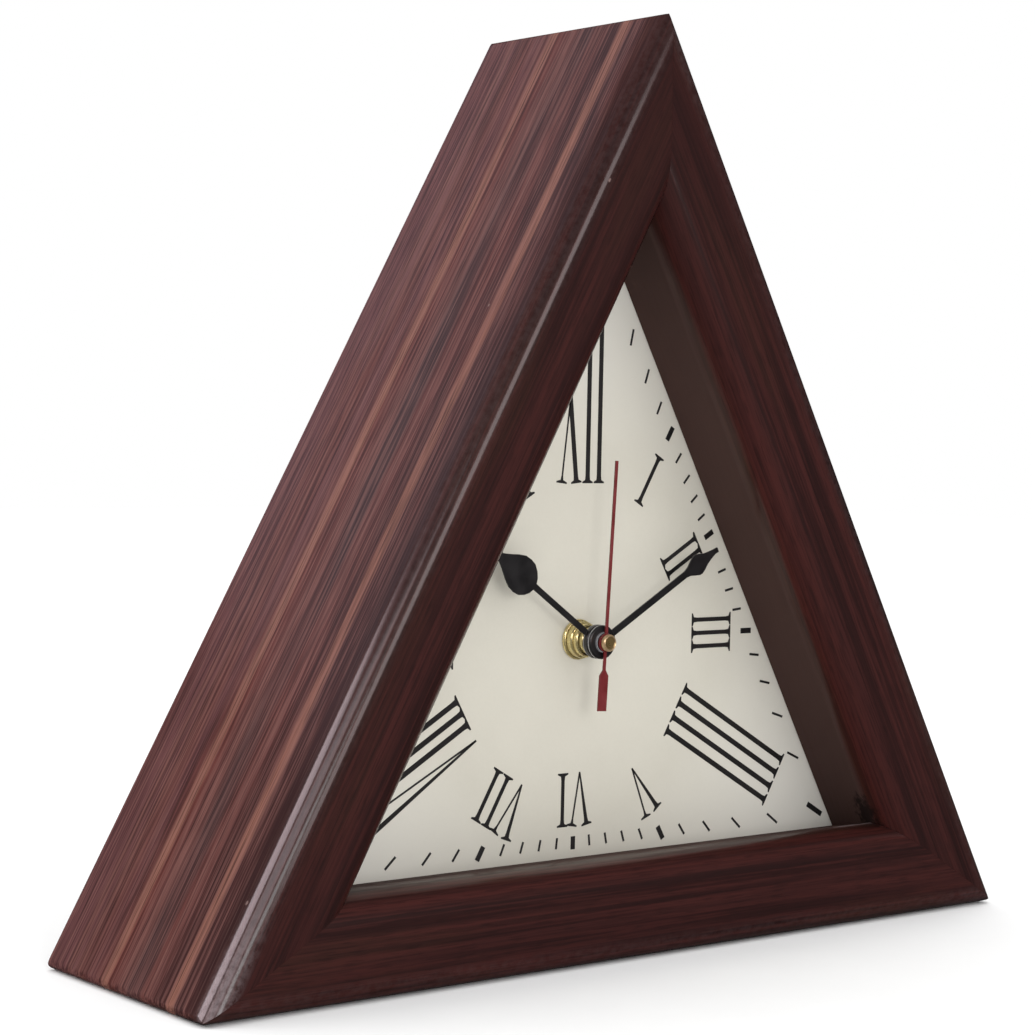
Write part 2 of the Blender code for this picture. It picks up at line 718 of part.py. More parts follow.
def build_case():
    rounds = corner_cutters()
    dowel_holes = []
    for number, (spot, normal) in enumerate(dowel_places()):
        reach = normal * (DOWEL_LENGTH / 2 + GAP)
        hole = rod(f"dowel_hole_{number}", spot - reach, spot + reach, DOWEL_RADIUS + GAP, SMALL_STEPS)
        dowel_holes.append(hole)
        reach = normal * DOWEL_LENGTH / 2
        dowel = rod(
            f"mitre_dowel_{number + 1}", spot - reach, spot + reach, DOWEL_RADIUS, SMALL_STEPS
        )
        finish(dowel, "pale_wood")
    pocket_front = BACK - POCKET_DEPTH
    pocket = plate("pocket_cutter", [hanger_outline(GAP)], pocket_front, POCKET_DEPTH + OVERRUN)
    screw_holes = [
        arbor(f"screw_hole_{number}", spot, pocket_front - SCREW_LENGTH, BACK, SCREW_RADIUS + GAP)
        for number, spot in enumerate(screw_places())
    ]
    brad_holes = []
    for number, (head, direction) in enumerate(brad_places()):
        start = head - direction * OVERRUN
        end = head + direction * (BRAD_LENGTH + GAP)
        brad_holes.append(rod(f"brad_hole_{number}", start, end, BRAD_RADIUS + GAP, SMALL_STEPS - 2))

    full = (RAIL_THICKNESS, RAIL_THICKNESS)
    section = rail_section()
    left = mitred("rail_left", "left", section, (0, 0), full)
    left = cut(
        left, rounds[0], rounds[2], *dowel_holes[:2], *dowel_holes[4:], pocket,
        *screw_holes[:2], *brad_holes[:2],
    )
    finish(left, "wood")
    right = mitred("rail_right", "right", section, (0, 0), full)
    right = cut(
        right, rounds[1], rounds[2], *dowel_holes[2:], pocket, *screw_holes[2:], *brad_holes[2:4],
    )
    finish(right, "wood")
    base = mitred("rail_base", "base", section, (0, 0), full)
    base = cut(base, rounds[0], rounds[1], *dowel_holes[:4], *brad_holes[4:])
    finish(base, "wood")
    return brad_holes


def build_beads(brad_holes):
    outer = (THIN_RAIL, THIN_RAIL)
    inner = (THIN_RAIL + BEAD_WIDTH, THIN_RAIL + BEAD_WIDTH)
    for number, side in enumerate(("left", "right", "base")):
        bead = mitred(f"bead_{side}", side, bead_section(), outer, inner)
        bead = cut(bead, *brad_holes[2 * number:2 * number + 2])
        finish(bead, "wood")
    for number, (head, direction) in enumerate(brad_places()):
        name = f"bead_brad_{number + 1}"
        inside_cap = head - direction * BRAD_HEAD_HEIGHT / 2
        tip = head + direction * BRAD_LENGTH
        shank = rod(name, inside_cap, tip, BRAD_RADIUS, SMALL_STEPS - 2)
        cap_end = head - direction * BRAD_HEAD_HEIGHT
        cap = rod(f"{name}_head", cap_end, head, BRAD_HEAD_RADIUS, SMALL_STEPS)
        finish(join(shank, cap), "steel")


def build_hanger():
    back = BACK - POCKET_DEPTH + GAP
    centre = CASE_HEIGHT - HANGER_BELOW_APEX
    slot = KEYHOLE_SLOT_WIDTH / 2
    opening = math.degrees(math.asin(slot / KEYHOLE_RADIUS))
    low = centre - KEYHOLE_RISE / 2
    keyhole = arc((0, low), KEYHOLE_RADIUS, 90 + opening, 450 - opening, MEDIUM_STEPS - 4)
    keyhole += arc((0, low + KEYHOLE_RISE + slot), slot, 0, 180, ROUND_STEPS)
    screw_bores = [
        circle((spot.x, spot.z), SCREW_RADIUS + GAP, SMALL_STEPS) for spot in screw_places()
    ]
    strap = plate(
        "hanger_plate", [hanger_outline(0), keyhole, *screw_bores], back, HANGER_THICKNESS
    )
    finish(strap, "steel")
    seat = back + HANGER_THICKNESS + GAP
    rim = seat + SCREW_HEAD_HEIGHT
    for number, spot in enumerate(screw_places()):
        tip = back - SCREW_LENGTH + POCKET_DEPTH
        profile = [
            (0, tip), (SCREW_RADIUS, tip + 2 * SCREW_RADIUS), (SCREW_RADIUS, seat),
            (SCREW_HEAD_RADIUS, seat), (SCREW_HEAD_RADIUS, seat + SCREW_HEAD_HEIGHT / 2),
            (SCREW_HEAD_RADIUS / 2, rim), (0, rim),
        ]
        screw = turned(f"hanger_screw_{number + 1}", profile, spot, SMALL_STEPS + 2)
        finish(screw, "steel")


def build_dial():
    side_inset = THIN_RAIL + GAP
    base_inset = THIN_RAIL + GAP
    hole = circle((0, HUB_HEIGHT), HUB_HOLE_RADIUS, MEDIUM_STEPS)
    outline = list(triangle(side_inset, base_inset).values())
    finish(plate("dial_card", [outline, hole], DIAL_FACE, CARD_THICKNESS), "card")
    finish(plate("dial_board", [outline, hole], BOARD_FRONT, BOARD_THICKNESS), "fibreboard")


# Toothed wheels, on arbors parallel to Y


def teeth(count, module, phase):
    """Outline of a wheel with trapezium teeth, the first of them at the angle phase."""
    tip = module * (count / 2 + TOOTH_HEIGHT_SHARE)
    root = module * (count / 2 - TOOTH_DEPTH_SHARE)
    pitch = 2 * math.pi / count
    corners = (
        (root, -TOOTH_ROOT_SHARE), (tip, -TOOTH_TIP_SHARE),
        (tip, TOOTH_TIP_SHARE), (root, TOOTH_ROOT_SHARE),
    )
    points = []
    for tooth in range(count):
        for radius, share in corners:
            angle = phase + (tooth + share) * pitch
            points.append((radius * math.cos(angle), radius * math.sin(angle)))
    return points


def facing_gap(degrees, count):
    """Phase that turns a gap towards the wheel that looks this way along the bearing."""
    return math.radians(degrees) + math.pi + math.pi / count


def wheel(name, centre, count, module, phase, front, thickness=WHEEL_THICKNESS):
    return plate(name, [teeth(count, module, phase)], front, thickness, centre)


def build_train():
    bridge_end = BRIDGE + PLATE_THICKNESS
    fourth_axis = pivot("second_axis", HUB, SECOND_LEVEL)
    second = wheel(
        "second_wheel", HUB, SECOND_TEETH, STEP_MODULE, math.radians(STEP_BEARING), SECOND_LEVEL
    )
    pinion = wheel(
        "second_pinion", HUB, PINION_LEAVES, SECOND_MODULE, math.radians(THIRD_BEARING),
        THIRD_LEVEL, LEVEL_PITCH + SUNK,
    )
    front = DIAL_FACE - CAP_REACH - CAP_SOCKET + GAP
    shaft = arbor("second_shaft", HUB, front, bridge_end, SECOND_ARBOR_RADIUS)
    finish(join(second, pinion, shaft), "white_plastic", fourth_axis)

    third_axis = pivot("third_axis", THIRD, THIRD_LEVEL)
    third = wheel(
        "third_wheel", THIRD, THIRD_TEETH, SECOND_MODULE,
        facing_gap(THIRD_BEARING, THIRD_TEETH), THIRD_LEVEL,
    )
    pinion = wheel(
        "third_pinion", THIRD, PINION_LEAVES, CENTRE_MODULE,
        facing_gap(THIRD_BEARING, PINION_LEAVES), CENTRE_LEVEL,
        THIRD_LEVEL - CENTRE_LEVEL + SUNK,
    )
    shaft = arbor("third_shaft", THIRD, INSIDE + GAP, bridge_end, ARBOR_RADIUS)
    finish(join(third, pinion, shaft), "white_plastic", third_axis)

    step_axis = pivot("step_axis", STEP, STEP_LEVEL)
    step = wheel(
        "step_wheel", STEP, STEP_TEETH, STEP_MODULE, math.radians(ROTOR_BEARING), STEP_LEVEL
    )
    pinion = wheel(
        "step_pinion", STEP, PINION_LEAVES, STEP_MODULE,
        facing_gap(STEP_BEARING, PINION_LEAVES), SECOND_LEVEL, LEVEL_PITCH + SUNK,
    )
    shaft = arbor("step_shaft", STEP, MIDDLE_PLATE, bridge_end, ARBOR_RADIUS)
    finish(join(step, pinion, shaft), "white_plastic", step_axis)

    rotor_axis = pivot("rotor_axis", ROTOR, MAGNET_LEVEL)
    magnet = turned("rotor", [
        (0, MAGNET_LEVEL), (MAGNET_RADIUS, MAGNET_LEVEL),
        (MAGNET_RADIUS, MAGNET_LEVEL + MAGNET_THICKNESS), (0, MAGNET_LEVEL + MAGNET_THICKNESS),
    ], ROTOR, MEDIUM_STEPS)
    pinion = wheel(
        "rotor_pinion", ROTOR, PINION_LEAVES, STEP_MODULE,
        facing_gap(ROTOR_BEARING, PINION_LEAVES), STEP_LEVEL, LEVEL_PITCH + SUNK,
    )
    shaft = arbor("rotor_shaft", ROTOR, MIDDLE_PLATE, bridge_end, ARBOR_RADIUS)
    finish(join(magnet, pinion, shaft), "iron", rotor_axis)

    centre_axis = pivot("centre_axis", HUB, CENTRE_LEVEL)
    centre = wheel(
        "centre_wheel", HUB, CENTRE_TEETH, CENTRE_MODULE, math.radians(THIRD_BEARING), CENTRE_LEVEL
    )
    bore_radius = MINUTE_PIPE_RADIUS + GAP
    bore = arbor("centre_bore", HUB, CENTRE_LEVEL - GAP, MIDDLE_PLATE, bore_radius, MEDIUM_STEPS)
    finish(cut(centre, bore), "brass", centre_axis)
    return fourth_axis


def motion_phases():
    """Phases of the motion wheel and of the knob's pinion that mesh with the cannon pinion."""
    wheel_phase = facing_gap(MOTION_BEARING, MOTION_TEETH)
    pitch = 2 * math.pi / MOTION_TEETH
    behind = (math.radians(KNOB_BEARING) - wheel_phase) % pitch
    knob_phase = facing_gap(KNOB_BEARING, CANNON_LEAVES) + behind * MOTION_TEETH / CANNON_LEAVES
    return wheel_phase, knob_phase


def build_motion_work():
    wheel_phase, knob_phase = motion_phases()
    minute_axis = pivot("minute_axis", HUB, MINUTE_LEVEL)
    front = DIAL_FACE - MINUTE_FRONT_REACH
    cannon = wheel(
        "minute_pipe", HUB, CANNON_LEAVES, MOTION_MODULE, math.radians(MOTION_BEARING),
        MINUTE_LEVEL,
    )
    pipe = arbor("minute_tube", HUB, front, MIDDLE_PLATE - GAP, MINUTE_PIPE_RADIUS, MEDIUM_STEPS)
    bore = arbor("minute_bore", HUB, front - OVERRUN, MIDDLE_PLATE, MINUTE_BORE, SMALL_STEPS + 2)
    finish(cut(join(cannon, pipe), bore), "brass", minute_axis)

    hour_axis = pivot("hour_axis", HUB, HOUR_LEVEL)
    front = DIAL_FACE - HOUR_HAND_REACH - HOUR_HUB_THICKNESS
    hour = wheel(
        "hour_wheel", HUB, HOUR_TEETH, HOUR_MODULE, facing_gap(MOTION_BEARING + 180, HOUR_TEETH),
        HOUR_LEVEL,
    )
    pipe = arbor("hour_tube", HUB, front, HOUR_LEVEL + SUNK, HOUR_PIPE_RADIUS, MEDIUM_STEPS)
    bore = arbor("hour_bore", HUB, front - OVERRUN, MINUTE_LEVEL, HOUR_BORE, MEDIUM_STEPS)
    finish(cut(join(hour, pipe), bore), "white_plastic", hour_axis)

    motion_axis = pivot("motion_axis", MOTION, MINUTE_LEVEL)
    motion = wheel("motion_wheel", MOTION, MOTION_TEETH, MOTION_MODULE, wheel_phase, MINUTE_LEVEL)
    pinion = wheel(
        "motion_pinion", MOTION, MOTION_LEAVES, HOUR_MODULE, math.radians(MOTION_BEARING + 180),
        HOUR_LEVEL, LEVEL_PITCH + SUNK,
    )
    bore = arbor(
        "motion_bore", MOTION, HOUR_LEVEL - GAP, CENTRE_LEVEL, STUD_RADIUS + GAP, SMALL_STEPS
    )
    finish(cut(join(motion, pinion), bore), "white_plastic", motion_axis)

    knob_axis = pivot("knob_axis", KNOB, MOVEMENT_BACK)
    grip_front = MOVEMENT_BACK + GAP
    grip_back = grip_front + KNOB_THICKNESS
    ridge = KNOB_RIDGE_SHARE
    corners = (
        (0, KNOB_RADIUS), (ridge, KNOB_RADIUS), ((1 + ridge) / 2, KNOB_RADIUS - KNOB_FLUTE_DEPTH),
    )
    grip_points = []
    for flute in range(KNOB_FLUTES):
        for share, radius in corners:
            angle = 2 * math.pi * (flute + share) / KNOB_FLUTES
            grip_points.append((radius * math.cos(angle), radius * math.sin(angle)))
    grip = plate("setting_knob", [grip_points], grip_front, KNOB_THICKNESS, KNOB)
    slot = block(
        "knob_slot",
        KNOB + Vector((-KNOB_SLOT_LENGTH / 2, grip_back - KNOB_SLOT_DEPTH, -KNOB_SLOT_WIDTH / 2)),
        KNOB + Vector((KNOB_SLOT_LENGTH / 2, grip_back + OVERRUN, KNOB_SLOT_WIDTH / 2)),
    )
    shaft = arbor("knob_shaft", KNOB, MINUTE_LEVEL + SUNK / 2, grip_front + SUNK, KNOB_ARBOR_RADIUS)
    pinion = wheel(
        "knob_pinion", KNOB, CANNON_LEAVES, MOTION_MODULE, knob_phase, MINUTE_LEVEL
    )
    pin = arbor("knob_pin", KNOB, INSIDE + GAP, MINUTE_LEVEL + SUNK, ARBOR_RADIUS)
    finish(join(cut(grip, slot), shaft, pinion, pin), "white_plastic", knob_axis)
    return minute_axis, hour_axis


# Moulded case, plates and motor of the movement


def chamber_outline(shrink=0):
    return rounded(
        -BAY_HALF + shrink, PARTITION_TOP + shrink, BAY_HALF - shrink, CHAMBER_TOP - shrink,
        MOVEMENT_ROUND - MOVEMENT_WALL,
    )


def stepped_post(name, spot, shoulders, tip_depth):
    """Post on the case's front wall that grows thinner at each shoulder's depth."""
    radius = POST_RADIUS
    profile = [(0, INSIDE - SUNK), (radius, INSIDE - SUNK)]
    for depth in shoulders:
        profile.append((radius, depth))
        radius -= POST_STEP
        profile.append((radius, depth))
    profile += [(radius, tip_depth), (0, tip_depth)]
    return turned(name, profile, spot, SMALL_STEPS)


def build_movement_case():
    bottom = BAY_BOTTOM - MOVEMENT_WALL
    depth = MOVEMENT_BACK - MOVEMENT_FACE
    outline = rounded(-MOVEMENT_HALF, bottom, MOVEMENT_HALF, MOVEMENT_CROWN, MOVEMENT_ROUND)
    body = plate("movement_case", [outline], MOVEMENT_FACE, depth)
    chamber = plate("chamber_cutter", [chamber_outline()], INSIDE, depth)
    bay_outline = box_outline(-BAY_HALF, BAY_BOTTOM, BAY_HALF, BAY_TOP)
    bay = plate("bay_cutter", [bay_outline], INSIDE, depth)
    hole = arbor(
        "bush_hole", HUB, MOVEMENT_FACE - OVERRUN, INSIDE + OVERRUN, HUB_HOLE_RADIUS, MEDIUM_STEPS
    )
    body = cut(body, chamber, bay, hole)
    posts = [
        stepped_post(f"plate_post_{number}", spot, (MIDDLE_PLATE - GAP, BRIDGE - GAP), TRAIN_END)
        for number, spot in enumerate(PLATE_POSTS)
    ]
    posts += [
        stepped_post(f"circuit_post_{number}", spot, (BRIDGE - GAP,), BRIDGE + BOARD_SHEET)
        for number, spot in enumerate(CIRCUIT_POSTS)
    ]
    stud = arbor("motion_stud", MOTION, INSIDE - SUNK, CENTRE_LEVEL - GAP, STUD_RADIUS)
    body = join(body, *posts, stud)
    finish(body, "black_plastic")

    cover_hole = circle((KNOB.x, KNOB.z), KNOB_ARBOR_RADIUS + GAP, SMALL_STEPS + 2)
    cover = plate(
        "movement_cover", [chamber_outline(GAP), cover_hole], COVER_FRONT, COVER_THICKNESS
    )
    finish(cover, "black_plastic")


def build_plates():
    def holes(places, extra=GAP):
        return [circle((spot.x, spot.z), radius + extra, SMALL_STEPS) for spot, radius in places]

    post_holes = [(spot, POST_RADIUS - POST_STEP) for spot in PLATE_POSTS]
    pinion_tip = CENTRE_MODULE * (PINION_LEAVES / 2 + TOOTH_HEIGHT_SHARE)
    plate_holes = post_holes + [
        (THIRD, pinion_tip), (STEP, ARBOR_RADIUS), (ROTOR, ARBOR_RADIUS),
        (HUB, SECOND_ARBOR_RADIUS), (KNOB, KNOB_ARBOR_RADIUS),
    ]
    top = HUB_HEIGHT + MIDDLE_PLATE_TOP
    outline = rounded(-PLATE_HALF, PLATE_BOTTOM, PLATE_HALF, top, PLATE_ROUND)
    middle = plate("middle_plate", [outline, *holes(plate_holes)], MIDDLE_PLATE, PLATE_THICKNESS)
    finish(middle, "white_plastic")

    bridge_holes = [(spot, POST_RADIUS - 2 * POST_STEP) for spot in PLATE_POSTS] + [
        (THIRD, ARBOR_RADIUS), (STEP, ARBOR_RADIUS), (ROTOR, ARBOR_RADIUS),
        (HUB, SECOND_ARBOR_RADIUS), (KNOB, KNOB_ARBOR_RADIUS),
    ]
    outline = rounded(-PLATE_HALF, PLATE_BOTTOM, PLATE_HALF, HUB_HEIGHT + BRIDGE_TOP, PLATE_ROUND)
    bridge = plate("train_bridge", [outline, *holes(bridge_holes)], BRIDGE, PLATE_THICKNESS)
    finish(bridge, "white_plastic")


def build_motor():
    left = ROTOR.x - STATOR_SPAN / 2
    right = ROTOR.x + STATOR_SPAN / 2
    low = ROTOR.z - STATOR_BAR_HEIGHT / 2
    shelf = ROTOR.z + STATOR_BAR_HEIGHT / 2
    high = COIL.z + CORE_WIDTH / 2
    horseshoe = [
        (left, low), (right, low), (right, high), (right - STATOR_LEG_WIDTH, high),
        (right - STATOR_LEG_WIDTH, shelf), (left + STATOR_LEG_WIDTH, shelf),
        (left + STATOR_LEG_WIDTH, high), (left, high),
    ]
    rotor_hole = circle((ROTOR.x, ROTOR.z), MAGNET_RADIUS + STATOR_HOLE_CLEARANCE, MEDIUM_STEPS)
    step_hole = circle((STEP.x, STEP.z), ARBOR_RADIUS + GAP, SMALL_STEPS)
    stator = plate("stator", [horseshoe, rotor_hole, step_hole], STATOR_FRONT, STATOR_THICKNESS)
    finish(stator, "iron")

    core_outline = box_outline(left, COIL.z - CORE_WIDTH / 2, right, COIL.z + CORE_WIDTH / 2)
    core = plate("coil_core", [core_outline], COIL_AXIS - CORE_THICKNESS / 2, CORE_THICKNESS)
    finish(core, "iron")

    coil_half = STATOR_SPAN / 2 - STATOR_LEG_WIDTH - GAP
    tube = math.hypot(CORE_WIDTH, CORE_THICKNESS) / 2 + GAP + BOBBIN_WALL
    start = Vector((COIL.x - coil_half, COIL_AXIS, COIL.z))
    end = Vector((COIL.x + coil_half, COIL_AXIS, COIL.z))
    lip = Vector((BOBBIN_FLANGE_THICKNESS, 0, 0))
    bobbin = rod("coil_bobbin", start, end, tube, MEDIUM_STEPS)
    flanges = [
        rod("flange_left", start, start + lip, BOBBIN_FLANGE_RADIUS, MEDIUM_STEPS),
        rod("flange_right", end - lip, end, BOBBIN_FLANGE_RADIUS, MEDIUM_STEPS),
    ]
    opening = Vector((OVERRUN, CORE_THICKNESS / 2 + GAP, CORE_WIDTH / 2 + GAP))
    channel = block("core_channel", start - opening, end + opening)
    finish(cut(join(bobbin, *flanges), channel), "white_plastic")

    clear = Vector((BOBBIN_FLANGE_THICKNESS + GAP, 0, 0))
    winding = rod("coil_winding", start + clear, end - clear, WINDING_RADIUS, MEDIUM_STEPS)
    hollow = rod("winding_bore", start, end, tube + GAP, MEDIUM_STEPS)
    finish(cut(winding, hollow), "copper")


def build_circuit():
    half = Vector((BOARD_WIDTH / 2, 0, BOARD_HEIGHT / 2))
    low = CIRCUIT - half
    high = CIRCUIT + half
    bores = [
        circle((spot.x, spot.z), POST_RADIUS - POST_STEP + GAP, SMALL_STEPS)
        for spot in CIRCUIT_POSTS
    ]
    outline = rounded(low.x, low.z, high.x, high.z, MOVEMENT_ROUND - MOVEMENT_WALL)
    board = plate("circuit_board", [outline, *bores], BRIDGE, BOARD_SHEET)
    finish(board, "circuit")
    start = CIRCUIT + Vector((-CRYSTAL_LENGTH / 2, BRIDGE - GAP - CRYSTAL_RADIUS, CRYSTAL_RISE))
    end = start + Vector((CRYSTAL_LENGTH, 0, 0))
    finish(rod("crystal_can", start, end, CRYSTAL_RADIUS, SMALL_STEPS + 2), "steel")
    face = BRIDGE - SEAT
    dome = [(0, face - CHIP_HEIGHT)]
    for across, up in arc((0, 0), 1, 60, 0, 2):
        dome.append((CHIP_RADIUS * across, face - CHIP_HEIGHT * up))
    spot = CIRCUIT - Vector((0, 0, CHIP_DROP))
    finish(turned("chip_blob", [*dome, (0, face)], spot, SMALL_STEPS + 2), "black_plastic")


def build_battery():
    axis = pivot("battery_slide", Vector((0, 0, BATTERY_HEIGHT)), BATTERY_AXIS)
    half = BATTERY_LENGTH / 2
    edge = BATTERY_EDGE_ROUND
    shoulder = half - BATTERY_NUB_LENGTH
    profile = [
        (0, half), (BATTERY_NUB_RADIUS, half), (BATTERY_NUB_RADIUS, shoulder),
        (BATTERY_RADIUS - edge, shoulder), (BATTERY_RADIUS, shoulder - edge),
        (BATTERY_RADIUS, edge - half), (BATTERY_RADIUS - edge, -half), (0, -half),
    ]
    cell = turned("battery_cell", [(r, -d) for r, d in profile], Vector((0, 0, 0)), FINE_STEPS)
    cell.matrix_world = (
        Matrix.Translation((0, BATTERY_AXIS, BATTERY_HEIGHT)) @ Matrix.Rotation(math.pi / 2, 4, "Y")
    )
    bpy.context.view_layer.update()
    finish(cell, "battery", axis)

    contact_front = BATTERY_AXIS - CONTACT_WIDTH / 2
    low = BATTERY_HEIGHT - CONTACT_HEIGHT / 2
    high = BATTERY_HEIGHT + CONTACT_HEIGHT / 2
    outside = BAY_HALF - GAP
    inside = BATTERY_LENGTH / 2 + GAP
    positive = [
        (outside, low), (outside, high), (outside - CONTACT_THICKNESS, high),
        (inside, BATTERY_HEIGHT + BATTERY_NUB_RADIUS), (inside, BATTERY_HEIGHT - BATTERY_NUB_RADIUS),
        (outside - CONTACT_THICKNESS, low),
    ]
    finish(plate("contact_positive", [positive], contact_front, CONTACT_WIDTH), "steel")

    bow = outside - CONTACT_THICKNESS - inside
    leaf_outer = []
    leaf_inner = []
    for step in range(ROUND_STEPS * 2 + 1):
        share = step / (ROUND_STEPS * 2)
        up = low + CONTACT_HEIGHT * share
        push = bow * math.sin(math.pi * share) ** 2
        leaf_outer.append((-outside + push, up))
        leaf_inner.append((-outside + push + CONTACT_THICKNESS, up))
    leaf = leaf_outer + leaf_inner[::-1]
    finish(plate("contact_negative", [leaf], contact_front, CONTACT_WIDTH), "steel")


# Fixings on the face of the dial, and the hands


def build_fixings():
    pad = [(BUSH_RADIUS + GAP, PAD_FRONT), (WASHER_PAD_RADIUS, PAD_FRONT)]
    pad += [(radius, PAD_FRONT + WASHER_PAD_THICKNESS) for radius, _ in reversed(pad)]
    finish(turned("rubber_pad", pad[1:3] + pad[3:] + pad[:1], HUB, MEDIUM_STEPS, True), "rubber")

    bush_front = DIAL_FACE - BUSH_REACH
    flange_back = FLANGE_FRONT + BUSH_FLANGE_THICKNESS
    bush = [
        (BUSH_BORE, bush_front), (BUSH_RADIUS - GAP, bush_front), (BUSH_RADIUS, bush_front + GAP),
        (BUSH_RADIUS, FLANGE_FRONT), (BUSH_FLANGE_RADIUS, FLANGE_FRONT),
        (BUSH_FLANGE_RADIUS, flange_back), (BUSH_BORE, flange_back),
    ]
    finish(turned("threaded_bush", bush, HUB, FINE_STEPS, closed=True), "brass")

    washer_back = DIAL_FACE - GAP
    washer_front = washer_back - WASHER_THICKNESS
    inner = HUB_HOLE_RADIUS
    washer = [
        (inner, washer_front), (WASHER_RADIUS - GAP, washer_front),
        (WASHER_RADIUS, washer_front + GAP), (WASHER_RADIUS, washer_back), (inner, washer_back),
    ]
    finish(turned("brass_washer", washer, HUB, FINE_STEPS, closed=True), "brass")

    nut_back = washer_front - GAP
    neck = nut_back - NUT_THICKNESS
    nut_front = neck - NUT_SHOULDER_THICKNESS
    shoulder = NUT_SHOULDER_RADIUS
    nut = [
        (inner, nut_front), (shoulder - NUT_GROOVE, nut_front), (shoulder, nut_front + NUT_GROOVE),
        (shoulder, neck - NUT_GROOVE), (shoulder - NUT_GROOVE, neck - NUT_GROOVE),
        (shoulder - NUT_GROOVE, neck), (NUT_RADIUS - NUT_GROOVE, neck),
        (NUT_RADIUS, neck + NUT_GROOVE), (NUT_RADIUS, nut_back), (inner, nut_back),
    ]
    finish(turned("bush_nut", nut, HUB, FINE_STEPS, closed=True), "brass")


def spade(length, spade_length, spade_width, stem_width, shares):
    """Outline of a hand that points up from the hub, closed behind its stem."""
    neck = length - spade_length
    right = [(spade_width * width, neck + spade_length * rise) for rise, width in shares]
    stem = stem_width / 2
    outline = [(stem, 0), (stem, neck - stem_width)] + right
    return outline + [(-across, up) for across, up in reversed(outline)]


def hand(name, outline, reach, boss_profile, bore_radius, colour, axis, degrees):
    """Blade and boss of one hand, with the bore that sits on its pipe, turned to its rest."""
    back = DIAL_FACE - reach
    blade = plate(name, [outline], back - HAND_THICKNESS, HAND_THICKNESS, HUB)
    profile = [(radius, back - forward) for radius, forward in boss_profile]
    boss = turned(f"{name}_boss", profile, HUB, FINE_STEPS)
    bore = arbor(
        f"{name}_bore", HUB, back - boss_profile[0][1] - OVERRUN, back + OVERRUN, bore_radius,
        MEDIUM_STEPS,
    )
    solid = cut(join(blade, boss), bore)
    spin = Matrix.Rotation(math.radians(degrees), 4, "Y")
    solid.matrix_world = (
        Matrix.Translation(HUB) @ spin @ Matrix.Translation(-HUB) @ solid.matrix_world
    )
    bpy.context.view_layer.update()
    return finish(solid, colour, axis)


def build_hands(second_axis, minute_axis, hour_axis):
    hour_turn = 30 * (SHOWN_HOURS + SHOWN_MINUTES / 60)
    minute_turn = 6 * SHOWN_MINUTES
    outline = spade(
        HOUR_HAND_LENGTH, HOUR_SPADE_LENGTH, HOUR_SPADE_WIDTH, HOUR_STEM_WIDTH, HOUR_SPADE_SHARES
    )
    boss = [
        (0, HOUR_HUB_THICKNESS), (HUB_RADIUS - GAP, HOUR_HUB_THICKNESS),
        (HUB_RADIUS, HOUR_HUB_THICKNESS - GAP), (HUB_RADIUS, 0), (0, 0),
    ]
    hand(
        "hour_hand", outline, HOUR_HAND_REACH, boss, HOUR_PIPE_RADIUS + GAP, "black_paint",
        hour_axis, hour_turn,
    )
    outline = spade(
        MINUTE_HAND_LENGTH, MINUTE_SPADE_LENGTH, MINUTE_SPADE_WIDTH, MINUTE_STEM_WIDTH,
        MINUTE_SPADE_SHARES,
    )
    top = MINUTE_HUB_THICKNESS + MINUTE_BOSS_THICKNESS
    boss = [
        (0, top), (MINUTE_BOSS_RADIUS, top), (MINUTE_BOSS_RADIUS, MINUTE_HUB_THICKNESS),
        (HUB_RADIUS - GAP, MINUTE_HUB_THICKNESS), (HUB_RADIUS, MINUTE_HUB_THICKNESS - GAP),
        (HUB_RADIUS, 0), (0, 0),
    ]
    hand(
        "minute_hand", outline, MINUTE_HAND_REACH, boss, MINUTE_PIPE_RADIUS + GAP, "black_paint",
        minute_axis, minute_turn,
    )
    blade = SECOND_BLADE_WIDTH / 2
    tail = SECOND_TAIL_WIDTH / 2
    outline = [(blade, -SECOND_NECK_LENGTH), (blade, SECOND_HAND_LENGTH)]
    outline += [(-across, up) for across, up in reversed(outline)]
    outline += [
        (-tail, -SECOND_NECK_LENGTH - tail), (-tail, -SECOND_TAIL_LENGTH),
        (tail, -SECOND_TAIL_LENGTH), (tail, -SECOND_NECK_LENGTH - tail),
    ]
    boss = [
        (0, SECOND_BOSS_THICKNESS), (SECOND_BOSS_RADIUS, SECOND_BOSS_THICKNESS),
        (SECOND_BOSS_RADIUS, 0), (0, 0),
    ]
    hand(
        "second_hand", outline, SECOND_HAND_REACH, boss, SECOND_ARBOR_RADIUS + GAP, "red_paint",
        second_axis, 6 * SHOWN_SECONDS,
    )
    front = DIAL_FACE - CAP_REACH - CAP_HEIGHT
    back = DIAL_FACE - CAP_REACH
    cap = turned("second_cap", [
        (0, front + CAP_RIM), (CAP_RADIUS - 2 * CAP_RIM, front + CAP_RIM),
        (CAP_RADIUS - CAP_RIM, front), (CAP_RADIUS, front + CAP_RIM), (CAP_RADIUS, back),
        (SECOND_ARBOR_RADIUS + GAP, back),
        (SECOND_ARBOR_RADIUS + GAP, back - CAP_SOCKET), (0, back - CAP_SOCKET),
    ], HUB, MEDIUM_STEPS)
    finish(cap, "brass", second_axis)


def remove_cutters():
    for cutter in list(helpers.objects):
        bpy.data.objects.remove(cutter, do_unlink=True)
    bpy.data.collections.remove(helpers)


build_beads(build_case())
build_hanger()
build_dial()
second_pivot = build_train()
minute_pivot, hour_pivot = build_motion_work()
build_movement_case()
build_plates()
build_motor()
build_circuit()
build_battery()
build_fixings()
build_hands(second_pivot, minute_pivot, hour_pivot)
remove_cutters()
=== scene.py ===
# Triangular wooden wall clock: finishes, dial print, fine hardware, light and camera
import math
import bpy
from mathutils import Matrix, Vector


